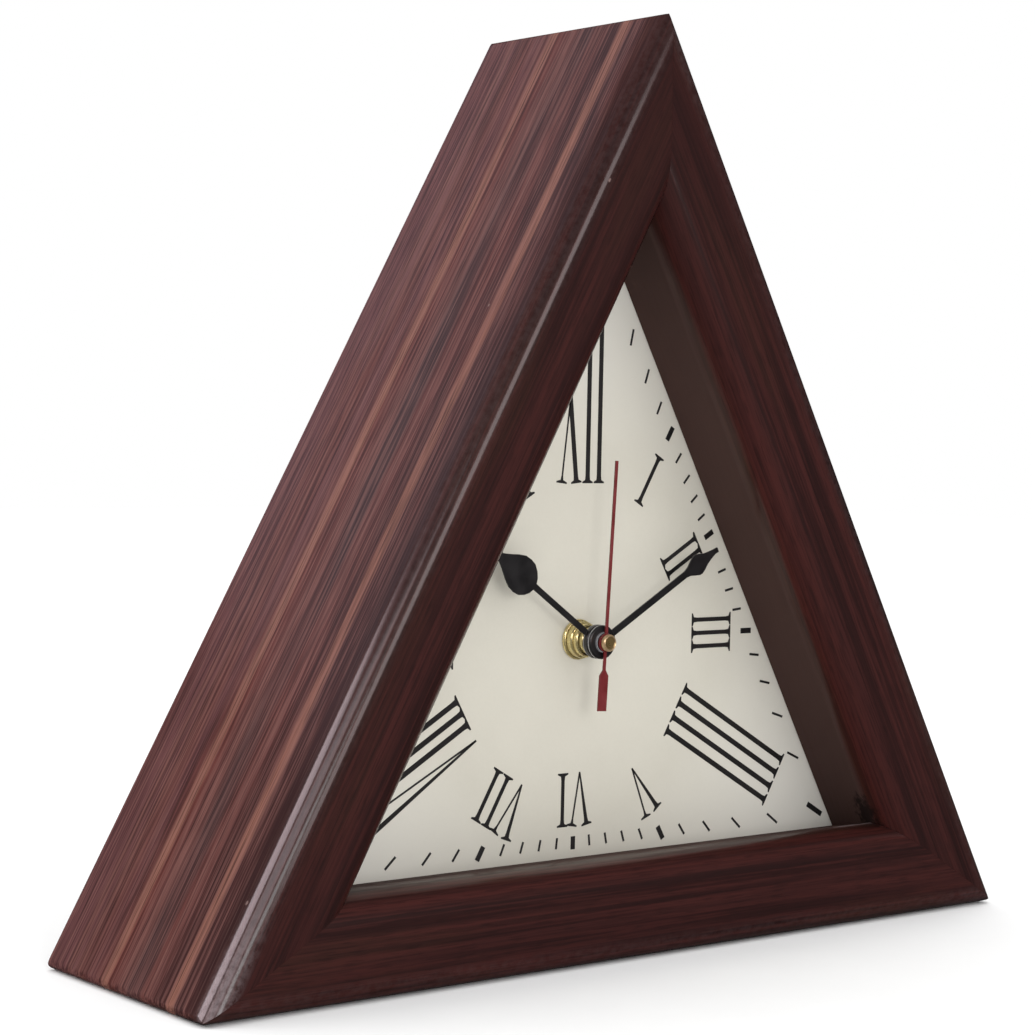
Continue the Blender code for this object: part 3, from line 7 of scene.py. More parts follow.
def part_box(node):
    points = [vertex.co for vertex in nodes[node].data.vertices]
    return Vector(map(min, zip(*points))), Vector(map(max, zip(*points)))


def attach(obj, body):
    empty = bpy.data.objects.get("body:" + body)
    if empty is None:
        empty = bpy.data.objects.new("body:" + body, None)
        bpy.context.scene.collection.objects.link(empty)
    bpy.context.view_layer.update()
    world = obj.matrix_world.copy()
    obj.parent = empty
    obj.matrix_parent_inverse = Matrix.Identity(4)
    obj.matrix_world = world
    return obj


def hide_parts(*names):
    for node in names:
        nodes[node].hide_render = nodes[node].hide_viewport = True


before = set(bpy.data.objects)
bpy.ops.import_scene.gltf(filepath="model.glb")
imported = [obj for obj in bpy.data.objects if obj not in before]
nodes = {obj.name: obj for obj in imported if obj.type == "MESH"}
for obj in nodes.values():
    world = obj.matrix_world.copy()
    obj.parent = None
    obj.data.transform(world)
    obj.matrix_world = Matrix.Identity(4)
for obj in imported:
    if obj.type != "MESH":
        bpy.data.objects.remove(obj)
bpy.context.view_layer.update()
scene = bpy.context.scene
mm = 0.001
tiny = 1e-6                      # merge distance, in metres
flatAngle = math.radians(0.5)    # facets that meet flatter than this become one

# lines that the finishes and the print follow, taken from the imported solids
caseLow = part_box("rail_base")[0]
hubLow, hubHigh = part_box("brass_washer")
hub = (hubLow + hubHigh) / 2
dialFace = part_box("dial_card")[0].y

# the case over its sharp corners
halfWidth, caseHeight = 0.150, 0.270
sideTurn = math.atan2(caseHeight, halfWidth)


# small tools

def pick(obj):
    bpy.ops.object.select_all(action="DESELECT")
    obj.select_set(True)
    bpy.context.view_layer.objects.active = obj


def edit(obj):
    pick(obj)
    bpy.ops.object.mode_set(mode="EDIT")


def leaveEdit():
    bpy.ops.object.mode_set(mode="OBJECT")


def settlePlace(obj):
    pick(obj)
    bpy.ops.object.transform_apply(location=True, rotation=True, scale=True)


def applyAll(obj):
    pick(obj)
    for modifier in list(obj.modifiers):
        bpy.ops.object.modifier_apply(modifier=modifier.name)


def selectWhere(obj, test, mode="VERT"):
    bpy.ops.mesh.select_mode(type=mode)
    bpy.ops.mesh.select_all(action="DESELECT")
    leaveEdit()
    for item in obj.data.polygons if mode == "FACE" else obj.data.vertices:
        item.select = test(item)
    bpy.ops.object.mode_set(mode="EDIT")


def joinAll(parts, name):
    pick(parts[0])
    for part in parts[1:]:
        part.select_set(True)
    if len(parts) > 1:
        bpy.ops.object.join()
    parts[0].name = name
    parts[0].data.name = name
    return parts[0]


def mergePoints(distance=tiny):
    bpy.ops.mesh.select_all(action="SELECT")
    bpy.ops.mesh.remove_doubles(threshold=distance)


def smooth(obj, degrees):
    pick(obj)
    bpy.ops.object.shade_smooth_by_angle(angle=math.radians(degrees))


def setFinish(obj, material):
    obj.data.materials.clear()
    obj.data.materials.append(material)


def dress(obj, material, body, slot, *replaced):
    setFinish(obj, material)
    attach(obj, body)
    if replaced:
        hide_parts(*replaced)


def openCopy(node, name):
    # a copy of a CAD node's mesh, open in edit mode
    obj = bpy.data.objects.new(name, nodes[node].data.copy())
    scene.collection.objects.link(obj)
    pick(obj)
    bpy.ops.mesh.customdata_custom_splitnormals_clear()
    edit(obj)
    return obj


def weldedCopy(node, name, edge=0.0, degrees=32):
    # a CAD node's mesh, merged and smoothed, with its sharp edges rounded by edge
    obj = openCopy(node, name)
    mergePoints()
    bpy.ops.mesh.dissolve_limited(angle_limit=flatAngle)
    leaveEdit()
    if edge:
        bevel = obj.modifiers.new("edge", "BEVEL")
        bevel.width = edge
        bevel.segments = 2
        bevel.limit_method = "ANGLE"
        bevel.angle_limit = math.radians(40)
        applyAll(obj)
        edit(obj)
        mergePoints(2 * tiny)
        leaveEdit()
    smooth(obj, degrees)
    weighted = obj.modifiers.new("weight", "WEIGHTED_NORMAL")
    weighted.keep_sharp = True
    applyAll(obj)
    return obj


# material building blocks

def linear(red, green, blue):
    def channel(value):
        value /= 255
        return value / 12.92 if value <= 0.04045 else ((value + 0.055) / 1.055) ** 2.4
    return (channel(red), channel(green), channel(blue), 1)


class Graph:
    # keeps one material's nodes; each call adds a node and hands back its socket
    def __init__(self, name):
        self.material = bpy.data.materials.new(name)
        self.material.use_nodes = True
        self.tree = self.material.node_tree
        self.shader = self.tree.nodes["Principled BSDF"]
        self.place = self.add("ShaderNodeTexCoord", out="Object")

    def add(self, kind, inputs=None, out=0, **settings):
        made = self.tree.nodes.new(kind)
        for key, value in settings.items():
            setattr(made, key, value)
        for key, value in (inputs or {}).items():
            self.set(made.inputs[key], value)
        return made.outputs[out]

    def set(self, socket, value):
        if isinstance(value, bpy.types.NodeSocket):
            self.tree.links.new(value, socket)
        else:
            socket.default_value = value

    def math(self, operation, first, second=0.0, third=0.0):
        return self.add("ShaderNodeMath", {0: first, 1: second, 2: third}, operation=operation)

    def times(self, *values):
        product = values[0]
        for value in values[1:]:
            product = self.math("MULTIPLY", product, value)
        return product

    def moved(self, vector, location=(0, 0, 0), rotation=(0, 0, 0), scale=(1, 1, 1)):
        place = {"Vector": vector, "Location": location, "Rotation": rotation, "Scale": scale}
        return self.add("ShaderNodeMapping", place)

    def noise(self, vector, scale, detail=3.0, roughness=0.55):
        grain = {"Vector": vector, "Scale": scale, "Detail": detail, "Roughness": roughness}
        return self.add("ShaderNodeTexNoise", grain)

    def ramp(self, value, stops, mode="LINEAR"):
        made = self.tree.nodes.new("ShaderNodeValToRGB")
        made.color_ramp.interpolation = mode
        elements = made.color_ramp.elements
        while len(elements) > 1:
            elements.remove(elements[-1])
        for number, (position, colour) in enumerate(stops):
            element = elements[0] if number == 0 else elements.new(position)
            element.position = position
            element.color = colour
        self.set(made.inputs["Fac"], value)
        return made.outputs["Color"]

    def span(self, value, low, high, first=0.0, last=1.0):
        ends = {"Value": value, "From Min": low, "From Max": high, "To Min": first, "To Max": last}
        return self.add("ShaderNodeMapRange", ends)

    def mix(self, share, first, second):
        # sockets 6 and 7 and output 2 are the node's colour ones
        return self.add("ShaderNodeMix", {0: share, 6: first, 7: second}, out=2, data_type="RGBA")

    def split(self, vector):
        made = self.tree.nodes.new("ShaderNodeSeparateXYZ")
        self.set(made.inputs[0], vector)
        return made.outputs

    def bump(self, height, strength, distance, normal=None):
        inputs = {"Height": height, "Strength": strength, "Distance": distance}
        if normal is not None:
            inputs["Normal"] = normal
        return self.add("ShaderNodeBump", inputs, out="Normal")

    def finish(self, colour, roughness, normal=None, metallic=0.0, **fixed):
        self.set(self.shader.inputs["Base Color"], colour)
        self.set(self.shader.inputs["Roughness"], roughness)
        self.set(self.shader.inputs["Metallic"], metallic)
        if normal is not None:
            self.set(self.shader.inputs["Normal"], normal)
        for key, value in fixed.items():
            self.shader.inputs[key.replace("_", " ")].default_value = value
        return self.material


# dark lacquered hardwood

woodTones = {
    "ground": (94, 50, 46), "redGround": (98, 45, 38), "mauve": (96, 56, 57), "greyBand": (72, 48, 48),
    "warm": (105, 64, 59), "tan": (138, 90, 76), "fibre": (128, 86, 80), "shade": (68, 34, 32),
    # front tones: darker than the side's, partly the wood's own tone and partly painted shade of the faces
    # turned to the front
    "deepRed": (50, 22, 21), "pore": (32, 15, 14), "front": (56, 25, 23), "frontDark": (41, 18, 17),
    # the pale worn tone marks rubbed lacquer, and also paints the highlight on the crest of the base's lip
    "frontRed": (69, 31, 28), "olive": (53, 29, 22), "inner": (77, 58, 54), "wornAndCrestHighlight": (126, 111, 113),
    "lacquer": (15, 12, 12), "chip": (132, 108, 104),
}
tone = {key: linear(*value) for key, value in woodTones.items()}

# scales of the grain, form of the spots, gloss
wood = {
    "line": 1150.0, "band": 430.0, "stretch": 0.010, "wander": 0.0022,
    "drawn": 0.6, "ragged": 2.2, "core": 0.6,
    "roughness": 0.48, "coat": 0.60, "coatRoughness": 0.16, "specular": 0.06, "coatGlass": 1.45,
}

# bands of grain across the outer face of a board: mm behind its front edge, tone
boardDepth = 82
# the deep red nearest the front edge is partly the wood's own tone and partly painted shade
grainBands = (
    (0, "deepRed"), (8, "deepRed"), (11, "shade"), (15.6, "shade"), (17, "tan"), (19.4, "tan"),
    (20.8, "shade"), (24, "shade"), (28, "ground"), (29.8, "warm"), (31.4, "ground"), (33.5, "greyBand"),
    (38.5, "greyBand"), (41, "warm"), (43, "warm"), (44.6, "ground"), (48.3, "redGround"), (49.3, "tan"),
    (51.5, "tan"), (53, "ground"), (58, "mauve"), (61.5, "ground"), (65.6, "warm"), (67.4, "mauve"),
    (69.6, "warm"), (72, "mauve"), (boardDepth, "mauve"),
)

# painted light and shade laid over the round of the lip: share of the way from the outer face to the lip,
# tone; the dark band is painted shade, the red bands painted light, the olive at the lip a painted reflection
# of the dial
lipLightAndShade = (
    (0.0, "front"), (0.62, "front"), (0.66, "frontDark"), (0.775, "frontDark"), (0.82, "front"),
    (0.87, "frontRed"), (0.925, "front"), (0.97, "frontRed"), (1.0, "olive"),
)

# where a finish starts and where it is full, in metres: Depth, Front and Back from the case's middle plane,
# In from the outer face, Run along the rail; deepFront is behind the front, the last two are from the lip
zones = {
    "frontDepth": (-0.0352, -0.0388), "frontIn": (-0.0062, -0.0095),
    "edgeDepth": (-0.0345, -0.0365), "edgeIn": (-0.0070, -0.0045),
    "dullFront": (-0.0400, -0.0385), "dullBack": (-0.0295, -0.0330), "dullIn": (-0.0035, -0.0020),
    "crestFront": (-0.0306, -0.0302), "crestBack": (-0.0285, -0.0289), "crestIn": (-0.0278, -0.0282),
    "deepFront": (0.0115, 0.0055), "apexRun": (0.02, 0.13), "cornerRun": (-0.120, -0.152),
    "behindLip": (-0.0032, -0.0006), "pastLip": (0.0126, 0.0110),
}


def boardGraph(name, wall, seed):
    # along runs along the rail from its middle, depth from front to back,
    # inward from the outer face (0) towards the opening (negative); seed and offsets pick a stretch of noise
    g = Graph(name)
    g.local = g.moved(g.place, location=(-wall["middle"], 0, -wall["outer"]), rotation=(0, wall["turn"], 0))
    g.along, g.depth, g.inward = g.split(g.local)
    drift = g.noise(g.moved(g.local, scale=(5, 14, 14), location=(seed, 0, 0)), 1.0, 1.0)
    g.drift = g.times(g.math("SUBTRACT", drift, 0.5), wood["wander"])
    wavy = g.add("ShaderNodeCombineXYZ", {
        0: g.math("MULTIPLY_ADD", g.along, wood["stretch"], 0.37 * seed),
        1: g.math("ADD", g.depth, g.drift),
        2: g.math("ADD", g.inward, g.drift),
    })
    g.lines = g.noise(wavy, wood["line"], 2.0, 0.55)
    g.streaks = g.noise(g.moved(wavy, location=(5.3, 0, 0)), wood["band"], 2.0, 0.5)
    g.patches = g.noise(g.moved(g.local, scale=(11, 60, 60), location=(2.0 * seed, 0, 0)), 1.0, 2.0)
    pores = g.noise(g.moved(g.local, scale=(110, 2000, 2000)), 1.0, 1.0)
    g.mottle = g.noise(g.moved(g.local, scale=(420, 560, 560)), 1.0, 5.0, 0.65)
    g.hair = g.noise(g.moved(wavy, location=(9.1, 0, 0), scale=(3, 1, 1)), wood["line"] * 1.5, 1.0)
    g.darkLine = g.span(g.lines, 0.485, 0.40)
    g.darkPore = g.span(pores, 0.47, 0.36)
    g.apexEnd = g.span(g.times(g.along, wall.get("apex", 0.0)), *zones["apexRun"])
    return g


def outerFace(g):
    # fixed bands of grain with fine lines over them
    fromFront = g.math("ADD", g.math("ADD", g.depth, -caseLow.y), g.drift)
    bands = [(place / boardDepth, tone[key]) for place, key in grainBands]
    side = g.ramp(g.math("DIVIDE", fromFront, boardDepth * mm), bands)
    side = g.mix(g.span(g.patches, 0.50, 0.66, 0.0, 0.40), side, tone["redGround"])
    side = g.mix(g.span(g.streaks, 0.55, 0.63, 0.0, 0.10), side, tone["fibre"])
    side = g.mix(g.times(g.darkLine, 0.45), side, tone["deepRed"])
    side = g.mix(g.span(g.hair, 0.50, 0.36, 0.0, 0.50), side, tone["deepRed"])
    side = g.mix(g.span(g.lines, 0.52, 0.60, 0.0, 0.34), side, tone["fibre"])
    side = g.mix(g.span(g.hair, 0.54, 0.68, 0.0, 0.36), side, tone["fibre"])
    # painted shade, partly the wood's own tone: the side darkens towards its front edge, where the lacquer's
    # reflection falls away before the round
    side = g.mix(g.span(fromFront, *zones["deepFront"], 0.0, 0.75), side, tone["deepRed"])
    return g.mix(g.times(g.darkPore, 0.16), side, tone["pore"])


def frontFace(g, wall):
    # front and lip: darker than the side, partly the wood's own tone and partly painted shade of the faces
    # turned to the front, with short pores and a few red and olive lines
    front = g.mix(g.span(g.streaks, 0.40, 0.58), tone["frontDark"], tone["front"])
    front = g.mix(g.span(g.patches, 0.48, 0.64, 0.0, 0.50), front, tone["olive"])
    toLip = g.math("DIVIDE", g.inward, wall["lip"])
    paintedLipShading = g.ramp(toLip, [(place, tone[key]) for place, key in lipLightAndShade])
    # painted light and shade across the round of the lip, with a painted reflection of the dial at its edge
    front = g.mix(g.span(toLip, 0.60, 0.67, 0.0, 0.80), front, paintedLipShading)
    front = g.mix(g.span(g.lines, 0.53, 0.61, 0.0, 0.42), front, tone["frontRed"])
    front = g.mix(g.times(g.darkLine, 0.30), front, tone["pore"])
    front = g.mix(g.times(g.darkPore, 0.45), front, tone["pore"])
    return g.mix(g.times(g.apexEnd, 0.50), front, tone["frontDark"])


def spotted(g, wall, colour):
    # chips, and runs of thick lacquer, drawn out along the grain
    stretched = g.moved(g.local, scale=(wood["drawn"], 1, 1))
    for place, radius, key in wall["spots"]:
        middle = (place[0] * wood["drawn"], place[1], place[2])
        away = g.add("ShaderNodeVectorMath", {0: stretched, 1: middle}, out="Value", operation="DISTANCE")
        away = g.math("MULTIPLY_ADD", g.math("SUBTRACT", g.mottle, 0.5), radius * wood["ragged"], away)
        colour = g.mix(g.span(away, radius, radius * wood["core"], 0.0, 0.75), colour, tone[key])
    return colour


def crestHighlight(g, wall, colour):
    # painted highlight along the crest of the lip beside one corner, in the pale tone of worn lacquer
    start, end = wall["crestHighlightRun"]
    crest = g.times(g.span(g.depth, *zones["crestFront"]), g.span(g.depth, *zones["crestBack"]))
    crest = g.times(crest, g.span(g.along, *start), g.span(g.along, *end))
    crest = g.times(crest, g.span(g.inward, *zones["crestIn"]), g.span(g.mottle, 0.35, 0.55, 0.35, 0.85))
    return g.mix(crest, colour, tone["wornAndCrestHighlight"])


def woodMaterial(name, wall, seed):
    g = boardGraph(name, wall, seed)
    side, front = outerFace(g), frontFace(g, wall)
    frontShare = g.math("MAXIMUM", g.span(g.depth, *zones["frontDepth"]), g.span(g.inward, *zones["frontIn"]))
    colour = g.mix(frontShare, side, front)

    # plain dark stain behind the lip, left without lacquer
    behind = g.span(g.depth, *[caseLow.y + wall["lipDepth"] + place for place in zones["behindLip"]])
    innerShare = g.times(behind, g.span(g.inward, *[wall["lip"] + place for place in zones["pastLip"]]))
    colour = g.mix(g.times(innerShare, 0.94), colour, tone["inner"])

    # lacquer rubbed dull on the outer front edge, most of all near the corners
    frontEdge = g.times(g.span(g.depth, *zones["edgeDepth"]), g.span(g.inward, *zones["edgeIn"]))
    nearEnd = g.span(g.along, *zones["cornerRun"], 0.0, wall.get("wear", 0.08))
    rub = g.times(frontEdge, g.math("ADD", nearEnd, 0.05), g.span(g.mottle, 0.36, 0.60))
    colour = spotted(g, wall, g.mix(rub, colour, tone["wornAndCrestHighlight"]))
    # painted highlight on the crest of the lip, where a board has one
    if wall.get("crestHighlightRun"):
        colour = crestHighlight(g, wall, colour)

    # relief and gloss
    height = g.math("MULTIPLY_ADD", g.lines, 0.7, g.times(g.darkPore, -0.3))
    height = g.times(height, g.math("SUBTRACT", 1.0, g.times(innerShare, 0.85)))
    normal = g.bump(height, 0.22, 0.00010)
    dents = g.noise(g.moved(g.local, scale=(60, 110, 110)), 1.0, 2.0)
    normal = g.bump(dents, 0.05, 0.0006, normal)
    normal = g.bump(g.times(g.mottle, rub), 0.2, 0.0003, normal)
    roughness = g.math("MULTIPLY_ADD", g.darkLine, 0.08, wood["roughness"])
    roughness = g.math("MULTIPLY_ADD", rub, 0.25, roughness)
    roughness = g.math("MULTIPLY_ADD", innerShare, 0.42, roughness)
    edgeDull = g.times(g.span(g.depth, *zones["dullFront"]), g.span(g.depth, *zones["dullBack"]))
    edgeDull = g.times(edgeDull, g.apexEnd, g.span(g.inward, *zones["dullIn"]))
    dull = g.math("MAXIMUM", g.times(innerShare, 0.96), g.times(edgeDull, 0.85))
    g.set(g.shader.inputs["Coat Weight"], g.times(g.math("SUBTRACT", 1.0, dull), wood["coat"]))
    return g.finish(
        colour, roughness, normal,
        Coat_Roughness=wood["coatRoughness"], Coat_IOR=wood["coatGlass"], Specular_IOR_Level=wood["specular"],
    )


# each board's turn about its own run, outer face, middle, lip and marks, in metres
# spots are place, radius and tone; wear and apex are strengths
outerSide = halfWidth * math.sin(sideTurn)
sideMiddle = 0.0816
lip = {"lip": -0.0285, "lipDepth": 0.0120}
boards = {
    "left": {
        **lip, "turn": sideTurn, "outer": outerSide, "middle": sideMiddle, "wear": 0.40, "apex": 1.0,
        "spots": (
            ((-0.1210, -0.0354, -0.0002), 0.0005, "chip"), ((-0.1195, -0.0356, -0.0002), 0.0004, "lacquer"),
            ((0.0990, -0.0407, -0.0050), 0.0005, "chip"), ((0.0560, -0.0200, 0.0), 0.0003, "chip"),
        ),
    },
    "right": {
        **lip, "turn": -sideTurn, "outer": outerSide, "middle": -sideMiddle, "apex": -1.0,
        "spots": (((0.1030, -0.0290, -0.0265), 0.0055, "lacquer"),),
    },
    "base": {
        **lip, "turn": math.pi, "outer": 0.0, "middle": 0.0,
        "spots": (((-0.1060, -0.0310, -0.0270), 0.0050, "lacquer"),),
        # run of the painted highlight along the crest of the lip
        "crestHighlightRun": ((-0.1035, -0.1015), (-0.0840, -0.0870)),
    },
}
woodFinish = {}
for number, (side, boardLook) in enumerate(boards.items()):
    woodFinish[side] = woodMaterial(f"hardwood{side.capitalize()}", boardLook, number + 1)
print("hardwood finishes ready")


# finishes of the other pieces

def shades(colour, spread):
    # a darker and a lighter tone of one colour
    darker = linear(*[max(value - spread, 0) for value in colour])
    lighter = linear(*[min(value + spread, 255) for value in colour])
    return darker, lighter


def hubRadius(g):
    # distance from the arbor's axis, and depth
    local = g.moved(g.place, location=(-hub.x, 0, -hub.z))
    x, y, z = g.split(local)
    return g.math("SQRT", g.math("ADD", g.times(x, x), g.times(z, z))), y


def speckled(name, colour, spread, scale, roughness, height, strength, metallic=0.0, corners=None, **fixed):
    # fine grain with soft clouds over it; corners holds the radii where a second, paler tone begins and is
    # full, painted light that lifts the shade of a recess
    g = Graph(name)
    grain = g.noise(g.place, scale, 4.0, 0.6)
    cloud = g.noise(g.place, scale * 0.06, 3.0, 0.5)
    mixed = g.math("MULTIPLY_ADD", cloud, 0.5, g.times(grain, 0.5))
    shade = g.mix(g.span(mixed, 0.3, 0.7), *shades(colour, spread))
    # painted light: a paler tone out towards the corners
    if corners:
        radii, paintedLightTone = corners
        shade = g.mix(g.span(hubRadius(g)[0], *radii), shade, linear(*paintedLightTone))
    rough = g.span(cloud, 0.3, 0.7, roughness - 0.05, roughness + 0.07)
    return g.finish(shade, rough, g.bump(grain, strength, height), metallic, **fixed)


def turnedMetal(name, bright, dull, roughness, metallic, face=None):
    # lathe marks run round the arbor, tarnish gathers in patches; face is the rim and tone of a dull end face
    g = Graph(name)
    radius, y = hubRadius(g)
    marks = g.noise(g.add("ShaderNodeCombineXYZ", {0: radius, 1: y}), 5200.0, 2.0)
    patches = g.noise(g.place, 420.0, 4.0, 0.6)
    share = g.times(g.span(patches, 0.42, 0.68), 0.5)
    colour = g.mix(share, linear(*bright), linear(*dull))
    if face:
        rim, dulled = face
        colour = g.mix(g.span(radius, *rim), colour, linear(*dulled))
    rough = g.math("MULTIPLY_ADD", share, 0.3, g.span(marks, 0.3, 0.7, roughness - 0.04, roughness + 0.06))
    return g.finish(colour, rough, g.bump(marks, 0.12, 0.00004), metallic)


# where the paint on a hand's hub is thin and a painted highlight lies on its edge, in metres: back and front
# from its ends, outer and inner as radii, the collar's from its edge inwards
thinPaintAndHighlight = {
    "back": (0.00042, 0.00030), "outer": (0.0056, 0.0053), "inner": (0.0046, 0.0048),
    "front": (0.0007, 0.0005), "collarOuter": (0.0, 0.0002), "collarInner": (0.0005, 0.0003),
}


def handPaint(name, node, colour, bareRimAndHighlight, spread=4, collar=None):
    # painted sheet metal; the light ring on the back rim of the hub, and on the collar in front of it, is
    # partly paint worn thin to bare metal and partly a painted highlight on the edge
    g = Graph(name)
    low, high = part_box(node)
    radius, y = hubRadius(g)
    grain = g.noise(g.place, 1600.0, 4.0, 0.6)
    cloud = g.noise(g.place, 240.0, 3.0, 0.5)
    shade = g.mix(g.span(cloud, 0.35, 0.65), *shades(colour, spread))
    atBack = g.span(y, *[high.y - place for place in thinPaintAndHighlight["back"]])
    rim = g.times(atBack, g.span(radius, *thinPaintAndHighlight["outer"]), g.span(radius, *thinPaintAndHighlight["inner"]))
    if collar:
        ring = g.span(radius, *[collar - place for place in thinPaintAndHighlight["collarOuter"]])
        ring = g.times(ring, g.span(radius, *[collar - place for place in thinPaintAndHighlight["collarInner"]]))
        atFront = g.span(y, *[low.y + place for place in thinPaintAndHighlight["front"]], 0.0, 0.65)
        rim = g.math("MAXIMUM", rim, g.times(ring, atFront))
    rim = g.times(rim, g.span(grain, 0.30, 0.50, 0.6, 1.0))
    # painted highlight, partly bare metal: the light tone on the hub's rim and collar
    shade = g.mix(rim, shade, linear(*bareRimAndHighlight))
    rough = g.span(cloud, 0.3, 0.7, 0.34, 0.46)
    return g.finish(shade, rough, g.bump(grain, 0.22, 0.00006), Coat_Weight=0.25, Coat_Roughness=0.25)


def batterySleeve(name):
    # dark printed film with a copper-coloured end band, and bare steel ends
    g = Graph(name)
    low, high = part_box("battery_cell")
    x = g.split(g.place)[0]
    grain = g.noise(g.place, 1800.0, 3.0)
    share = g.math("DIVIDE", g.math("SUBTRACT", x, low.x), high.x - low.x)
    steel = linear(168, 170, 172)
    film = g.ramp(share, [
        (0.0, steel), (0.016, linear(22, 22, 24)), (0.70, linear(28, 28, 31)), (0.705, linear(196, 190, 178)),
        (0.715, linear(184, 112, 62)), (0.955, linear(190, 118, 66)), (0.96, steel),
    ], "CONSTANT")
    rough = g.span(grain, 0.3, 0.7, 0.26, 0.34)
    return g.finish(film, rough, g.bump(grain, 0.1, 0.00003), 0.35, Coat_Weight=0.5, Coat_Roughness=0.12)


def wound(name, node, colour, dark, pitch):
    # turns of fine wire, side by side along the bobbin
    g = Graph(name)
    low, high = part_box(node)
    across = max(range(3), key=lambda axis: high[axis] - low[axis])
    along = g.split(g.place)[across]
    turn = g.math("FRACT", g.math("DIVIDE", along, pitch))
    hump = g.math("SINE", g.times(turn, math.pi))
    lay = g.noise(g.place, 260.0, 3.0)
    shade = g.mix(g.span(hump, 0.15, 0.8), linear(*dark), linear(*colour))
    shade = g.mix(g.span(lay, 0.45, 0.7, 0.0, 0.35), shade, linear(*dark))
    return g.finish(shade, 0.34, g.bump(hump, 0.6, 0.00006), 0.9)


def circuitFinish(name):
    # green-brown laminate with printed copper tracks under the lacquer
    g = Graph(name)
    grain = g.noise(g.place, 1500.0, 4.0, 0.6)
    x, y, z = g.split(g.place)
    grid = g.add("ShaderNodeTexBrick", {
        "Vector": g.add("ShaderNodeCombineXYZ", {0: x, 1: z}),
        "Color1": (1, 1, 1, 1), "Color2": (0.8, 0.8, 0.8, 1), "Mortar": (0, 0, 0, 1), "Mortar Size": 0.03,
        "Scale": 420.0, "Bias": 0.0, "Brick Width": 0.9, "Row Height": 0.5,
    })
    track = g.span(grid, 0.9, 0.7, 0.0, 0.75)
    shade = g.mix(g.span(grain, 0.3, 0.7), linear(70, 84, 40), linear(98, 110, 58))
    shade = g.mix(track, shade, linear(172, 124, 66))
    rough = g.math("MULTIPLY_ADD", track, -0.15, 0.5)
    normal = g.bump(g.math("ADD", grain, track), 0.25, 0.00005)
    return g.finish(shade, rough, normal, Coat_Weight=0.3, Coat_Roughness=0.2)


# painted light: the card turns paler from the middle out to its corners, lifting the shade of the recess
# there
cardPaintedLight = ((0.055, 0.110), (238, 235, 226))
capFace = ((0.0021, 0.0017), (138, 116, 74))

# speckled: name, colour, spread, scale, roughness, height and strength of the grain
card = speckled(
    "dialCard", (211, 207, 194), 2, 1400.0, 0.62, 0.00005, 0.15, corners=cardPaintedLight, Specular_IOR_Level=0.2,
)
ink = speckled("dialInk", (18, 17, 18), 4, 1500.0, 0.55, 0.00003, 0.15)
hourPaint = handPaint("hourHandPaint", "hour_hand", (17, 16, 19), (150, 150, 154))
minutePaint = handPaint("minuteHandPaint", "minute_hand", (17, 16, 19), (186, 186, 190), collar=0.0031)
secondPaint = handPaint("secondHandPaint", "second_hand", (112, 17, 22), (176, 110, 106), spread=8)
blackPlastic = speckled("blackMouldedPlastic", (27, 27, 29), 5, 2600.0, 0.52, 0.00012, 0.55)
whitePlastic = speckled("whiteMouldedPlastic", (224, 221, 210), 5, 1800.0, 0.40, 0.00004, 0.2)
rubber = speckled("washerRubber", (30, 30, 31), 6, 2200.0, 0.80, 0.0001, 0.5)
board = speckled("pressedBoard", (128, 92, 60), 13, 900.0, 0.82, 0.0002, 0.5)
beech = speckled("beechDowel", (196, 160, 116), 14, 700.0, 0.66, 0.0001, 0.3)
zincSteel = speckled("zincSteel", (176, 178, 180), 14, 500.0, 0.42, 0.00005, 0.2, metallic=0.6)
iron = speckled("laminatedIron", (120, 116, 112), 14, 900.0, 0.45, 0.00005, 0.25, metallic=0.9)
copper = wound("windingCopper", "coil_winding", (190, 108, 62), (92, 42, 24), 0.00032)
circuit = circuitFinish("circuitLaminate")
sleeve = batterySleeve("batterySleeve")
brass = turnedMetal("hubBrass", (236, 220, 160), (176, 160, 104), 0.25, metallic=0.8)
capBrass = turnedMetal("capBrass", (236, 204, 160), (160, 134, 92), 0.28, metallic=0.75, face=capFace)
print("metal, paint and plastic finishes ready")


# case rails and beads

# a bead runs as its board does, without a lip or marks
beadBoard = {"lip": -1.0, "lipDepth": 1.0, "spots": (), "crestHighlightRun": None}
for number, (side, boardLook) in enumerate(boards.items()):
    rail = weldedCopy(f"rail_{side}", f"{side}Rail", degrees=28)
    dress(rail, woodFinish[side], "case", "dark_hardwood", f"rail_{side}")
    beadFinish = woodMaterial(f"beadWood{side.capitalize()}", {**boardLook, **beadBoard}, 5 + number)
    bead = weldedCopy(f"bead_{side}", f"{side}Bead", edge=0.0003, degrees=35)
    dress(bead, beadFinish, "case", "dark_hardwood", f"bead_{side}")

glue = speckled("driedGlue", (46, 21, 19), 5, 1500.0, 0.6, 0.00005, 0.2, Specular_IOR_Level=0.03)
mitre = {"gap": 0.1 * mm, "clear": 0.004 * mm, "square": 0.999}    # square is a sawn face's least cosine


def glueFilm(node, name, facing):
    # film of glue grown from one sawn face across the hairline to the next rail
    facing = Vector(facing).normalized()
    obj = openCopy(node, name)
    selectWhere(obj, lambda face: face.normal.dot(facing) < mitre["square"], "FACE")
    bpy.ops.mesh.delete(type="FACE")
    mergePoints()
    bpy.ops.mesh.dissolve_limited(angle_limit=flatAngle)
    bpy.ops.mesh.select_all(action="SELECT")
    bpy.ops.transform.translate(value=facing * mitre["clear"])
    across = facing * (mitre["gap"] - 2 * mitre["clear"])
    bpy.ops.mesh.extrude_region_move(TRANSFORM_OT_translate={"value": across})
    mergePoints()
    bpy.ops.mesh.normals_make_consistent(inside=False)
    leaveEdit()
    dress(obj, glue, "case", "dark_hardwood")


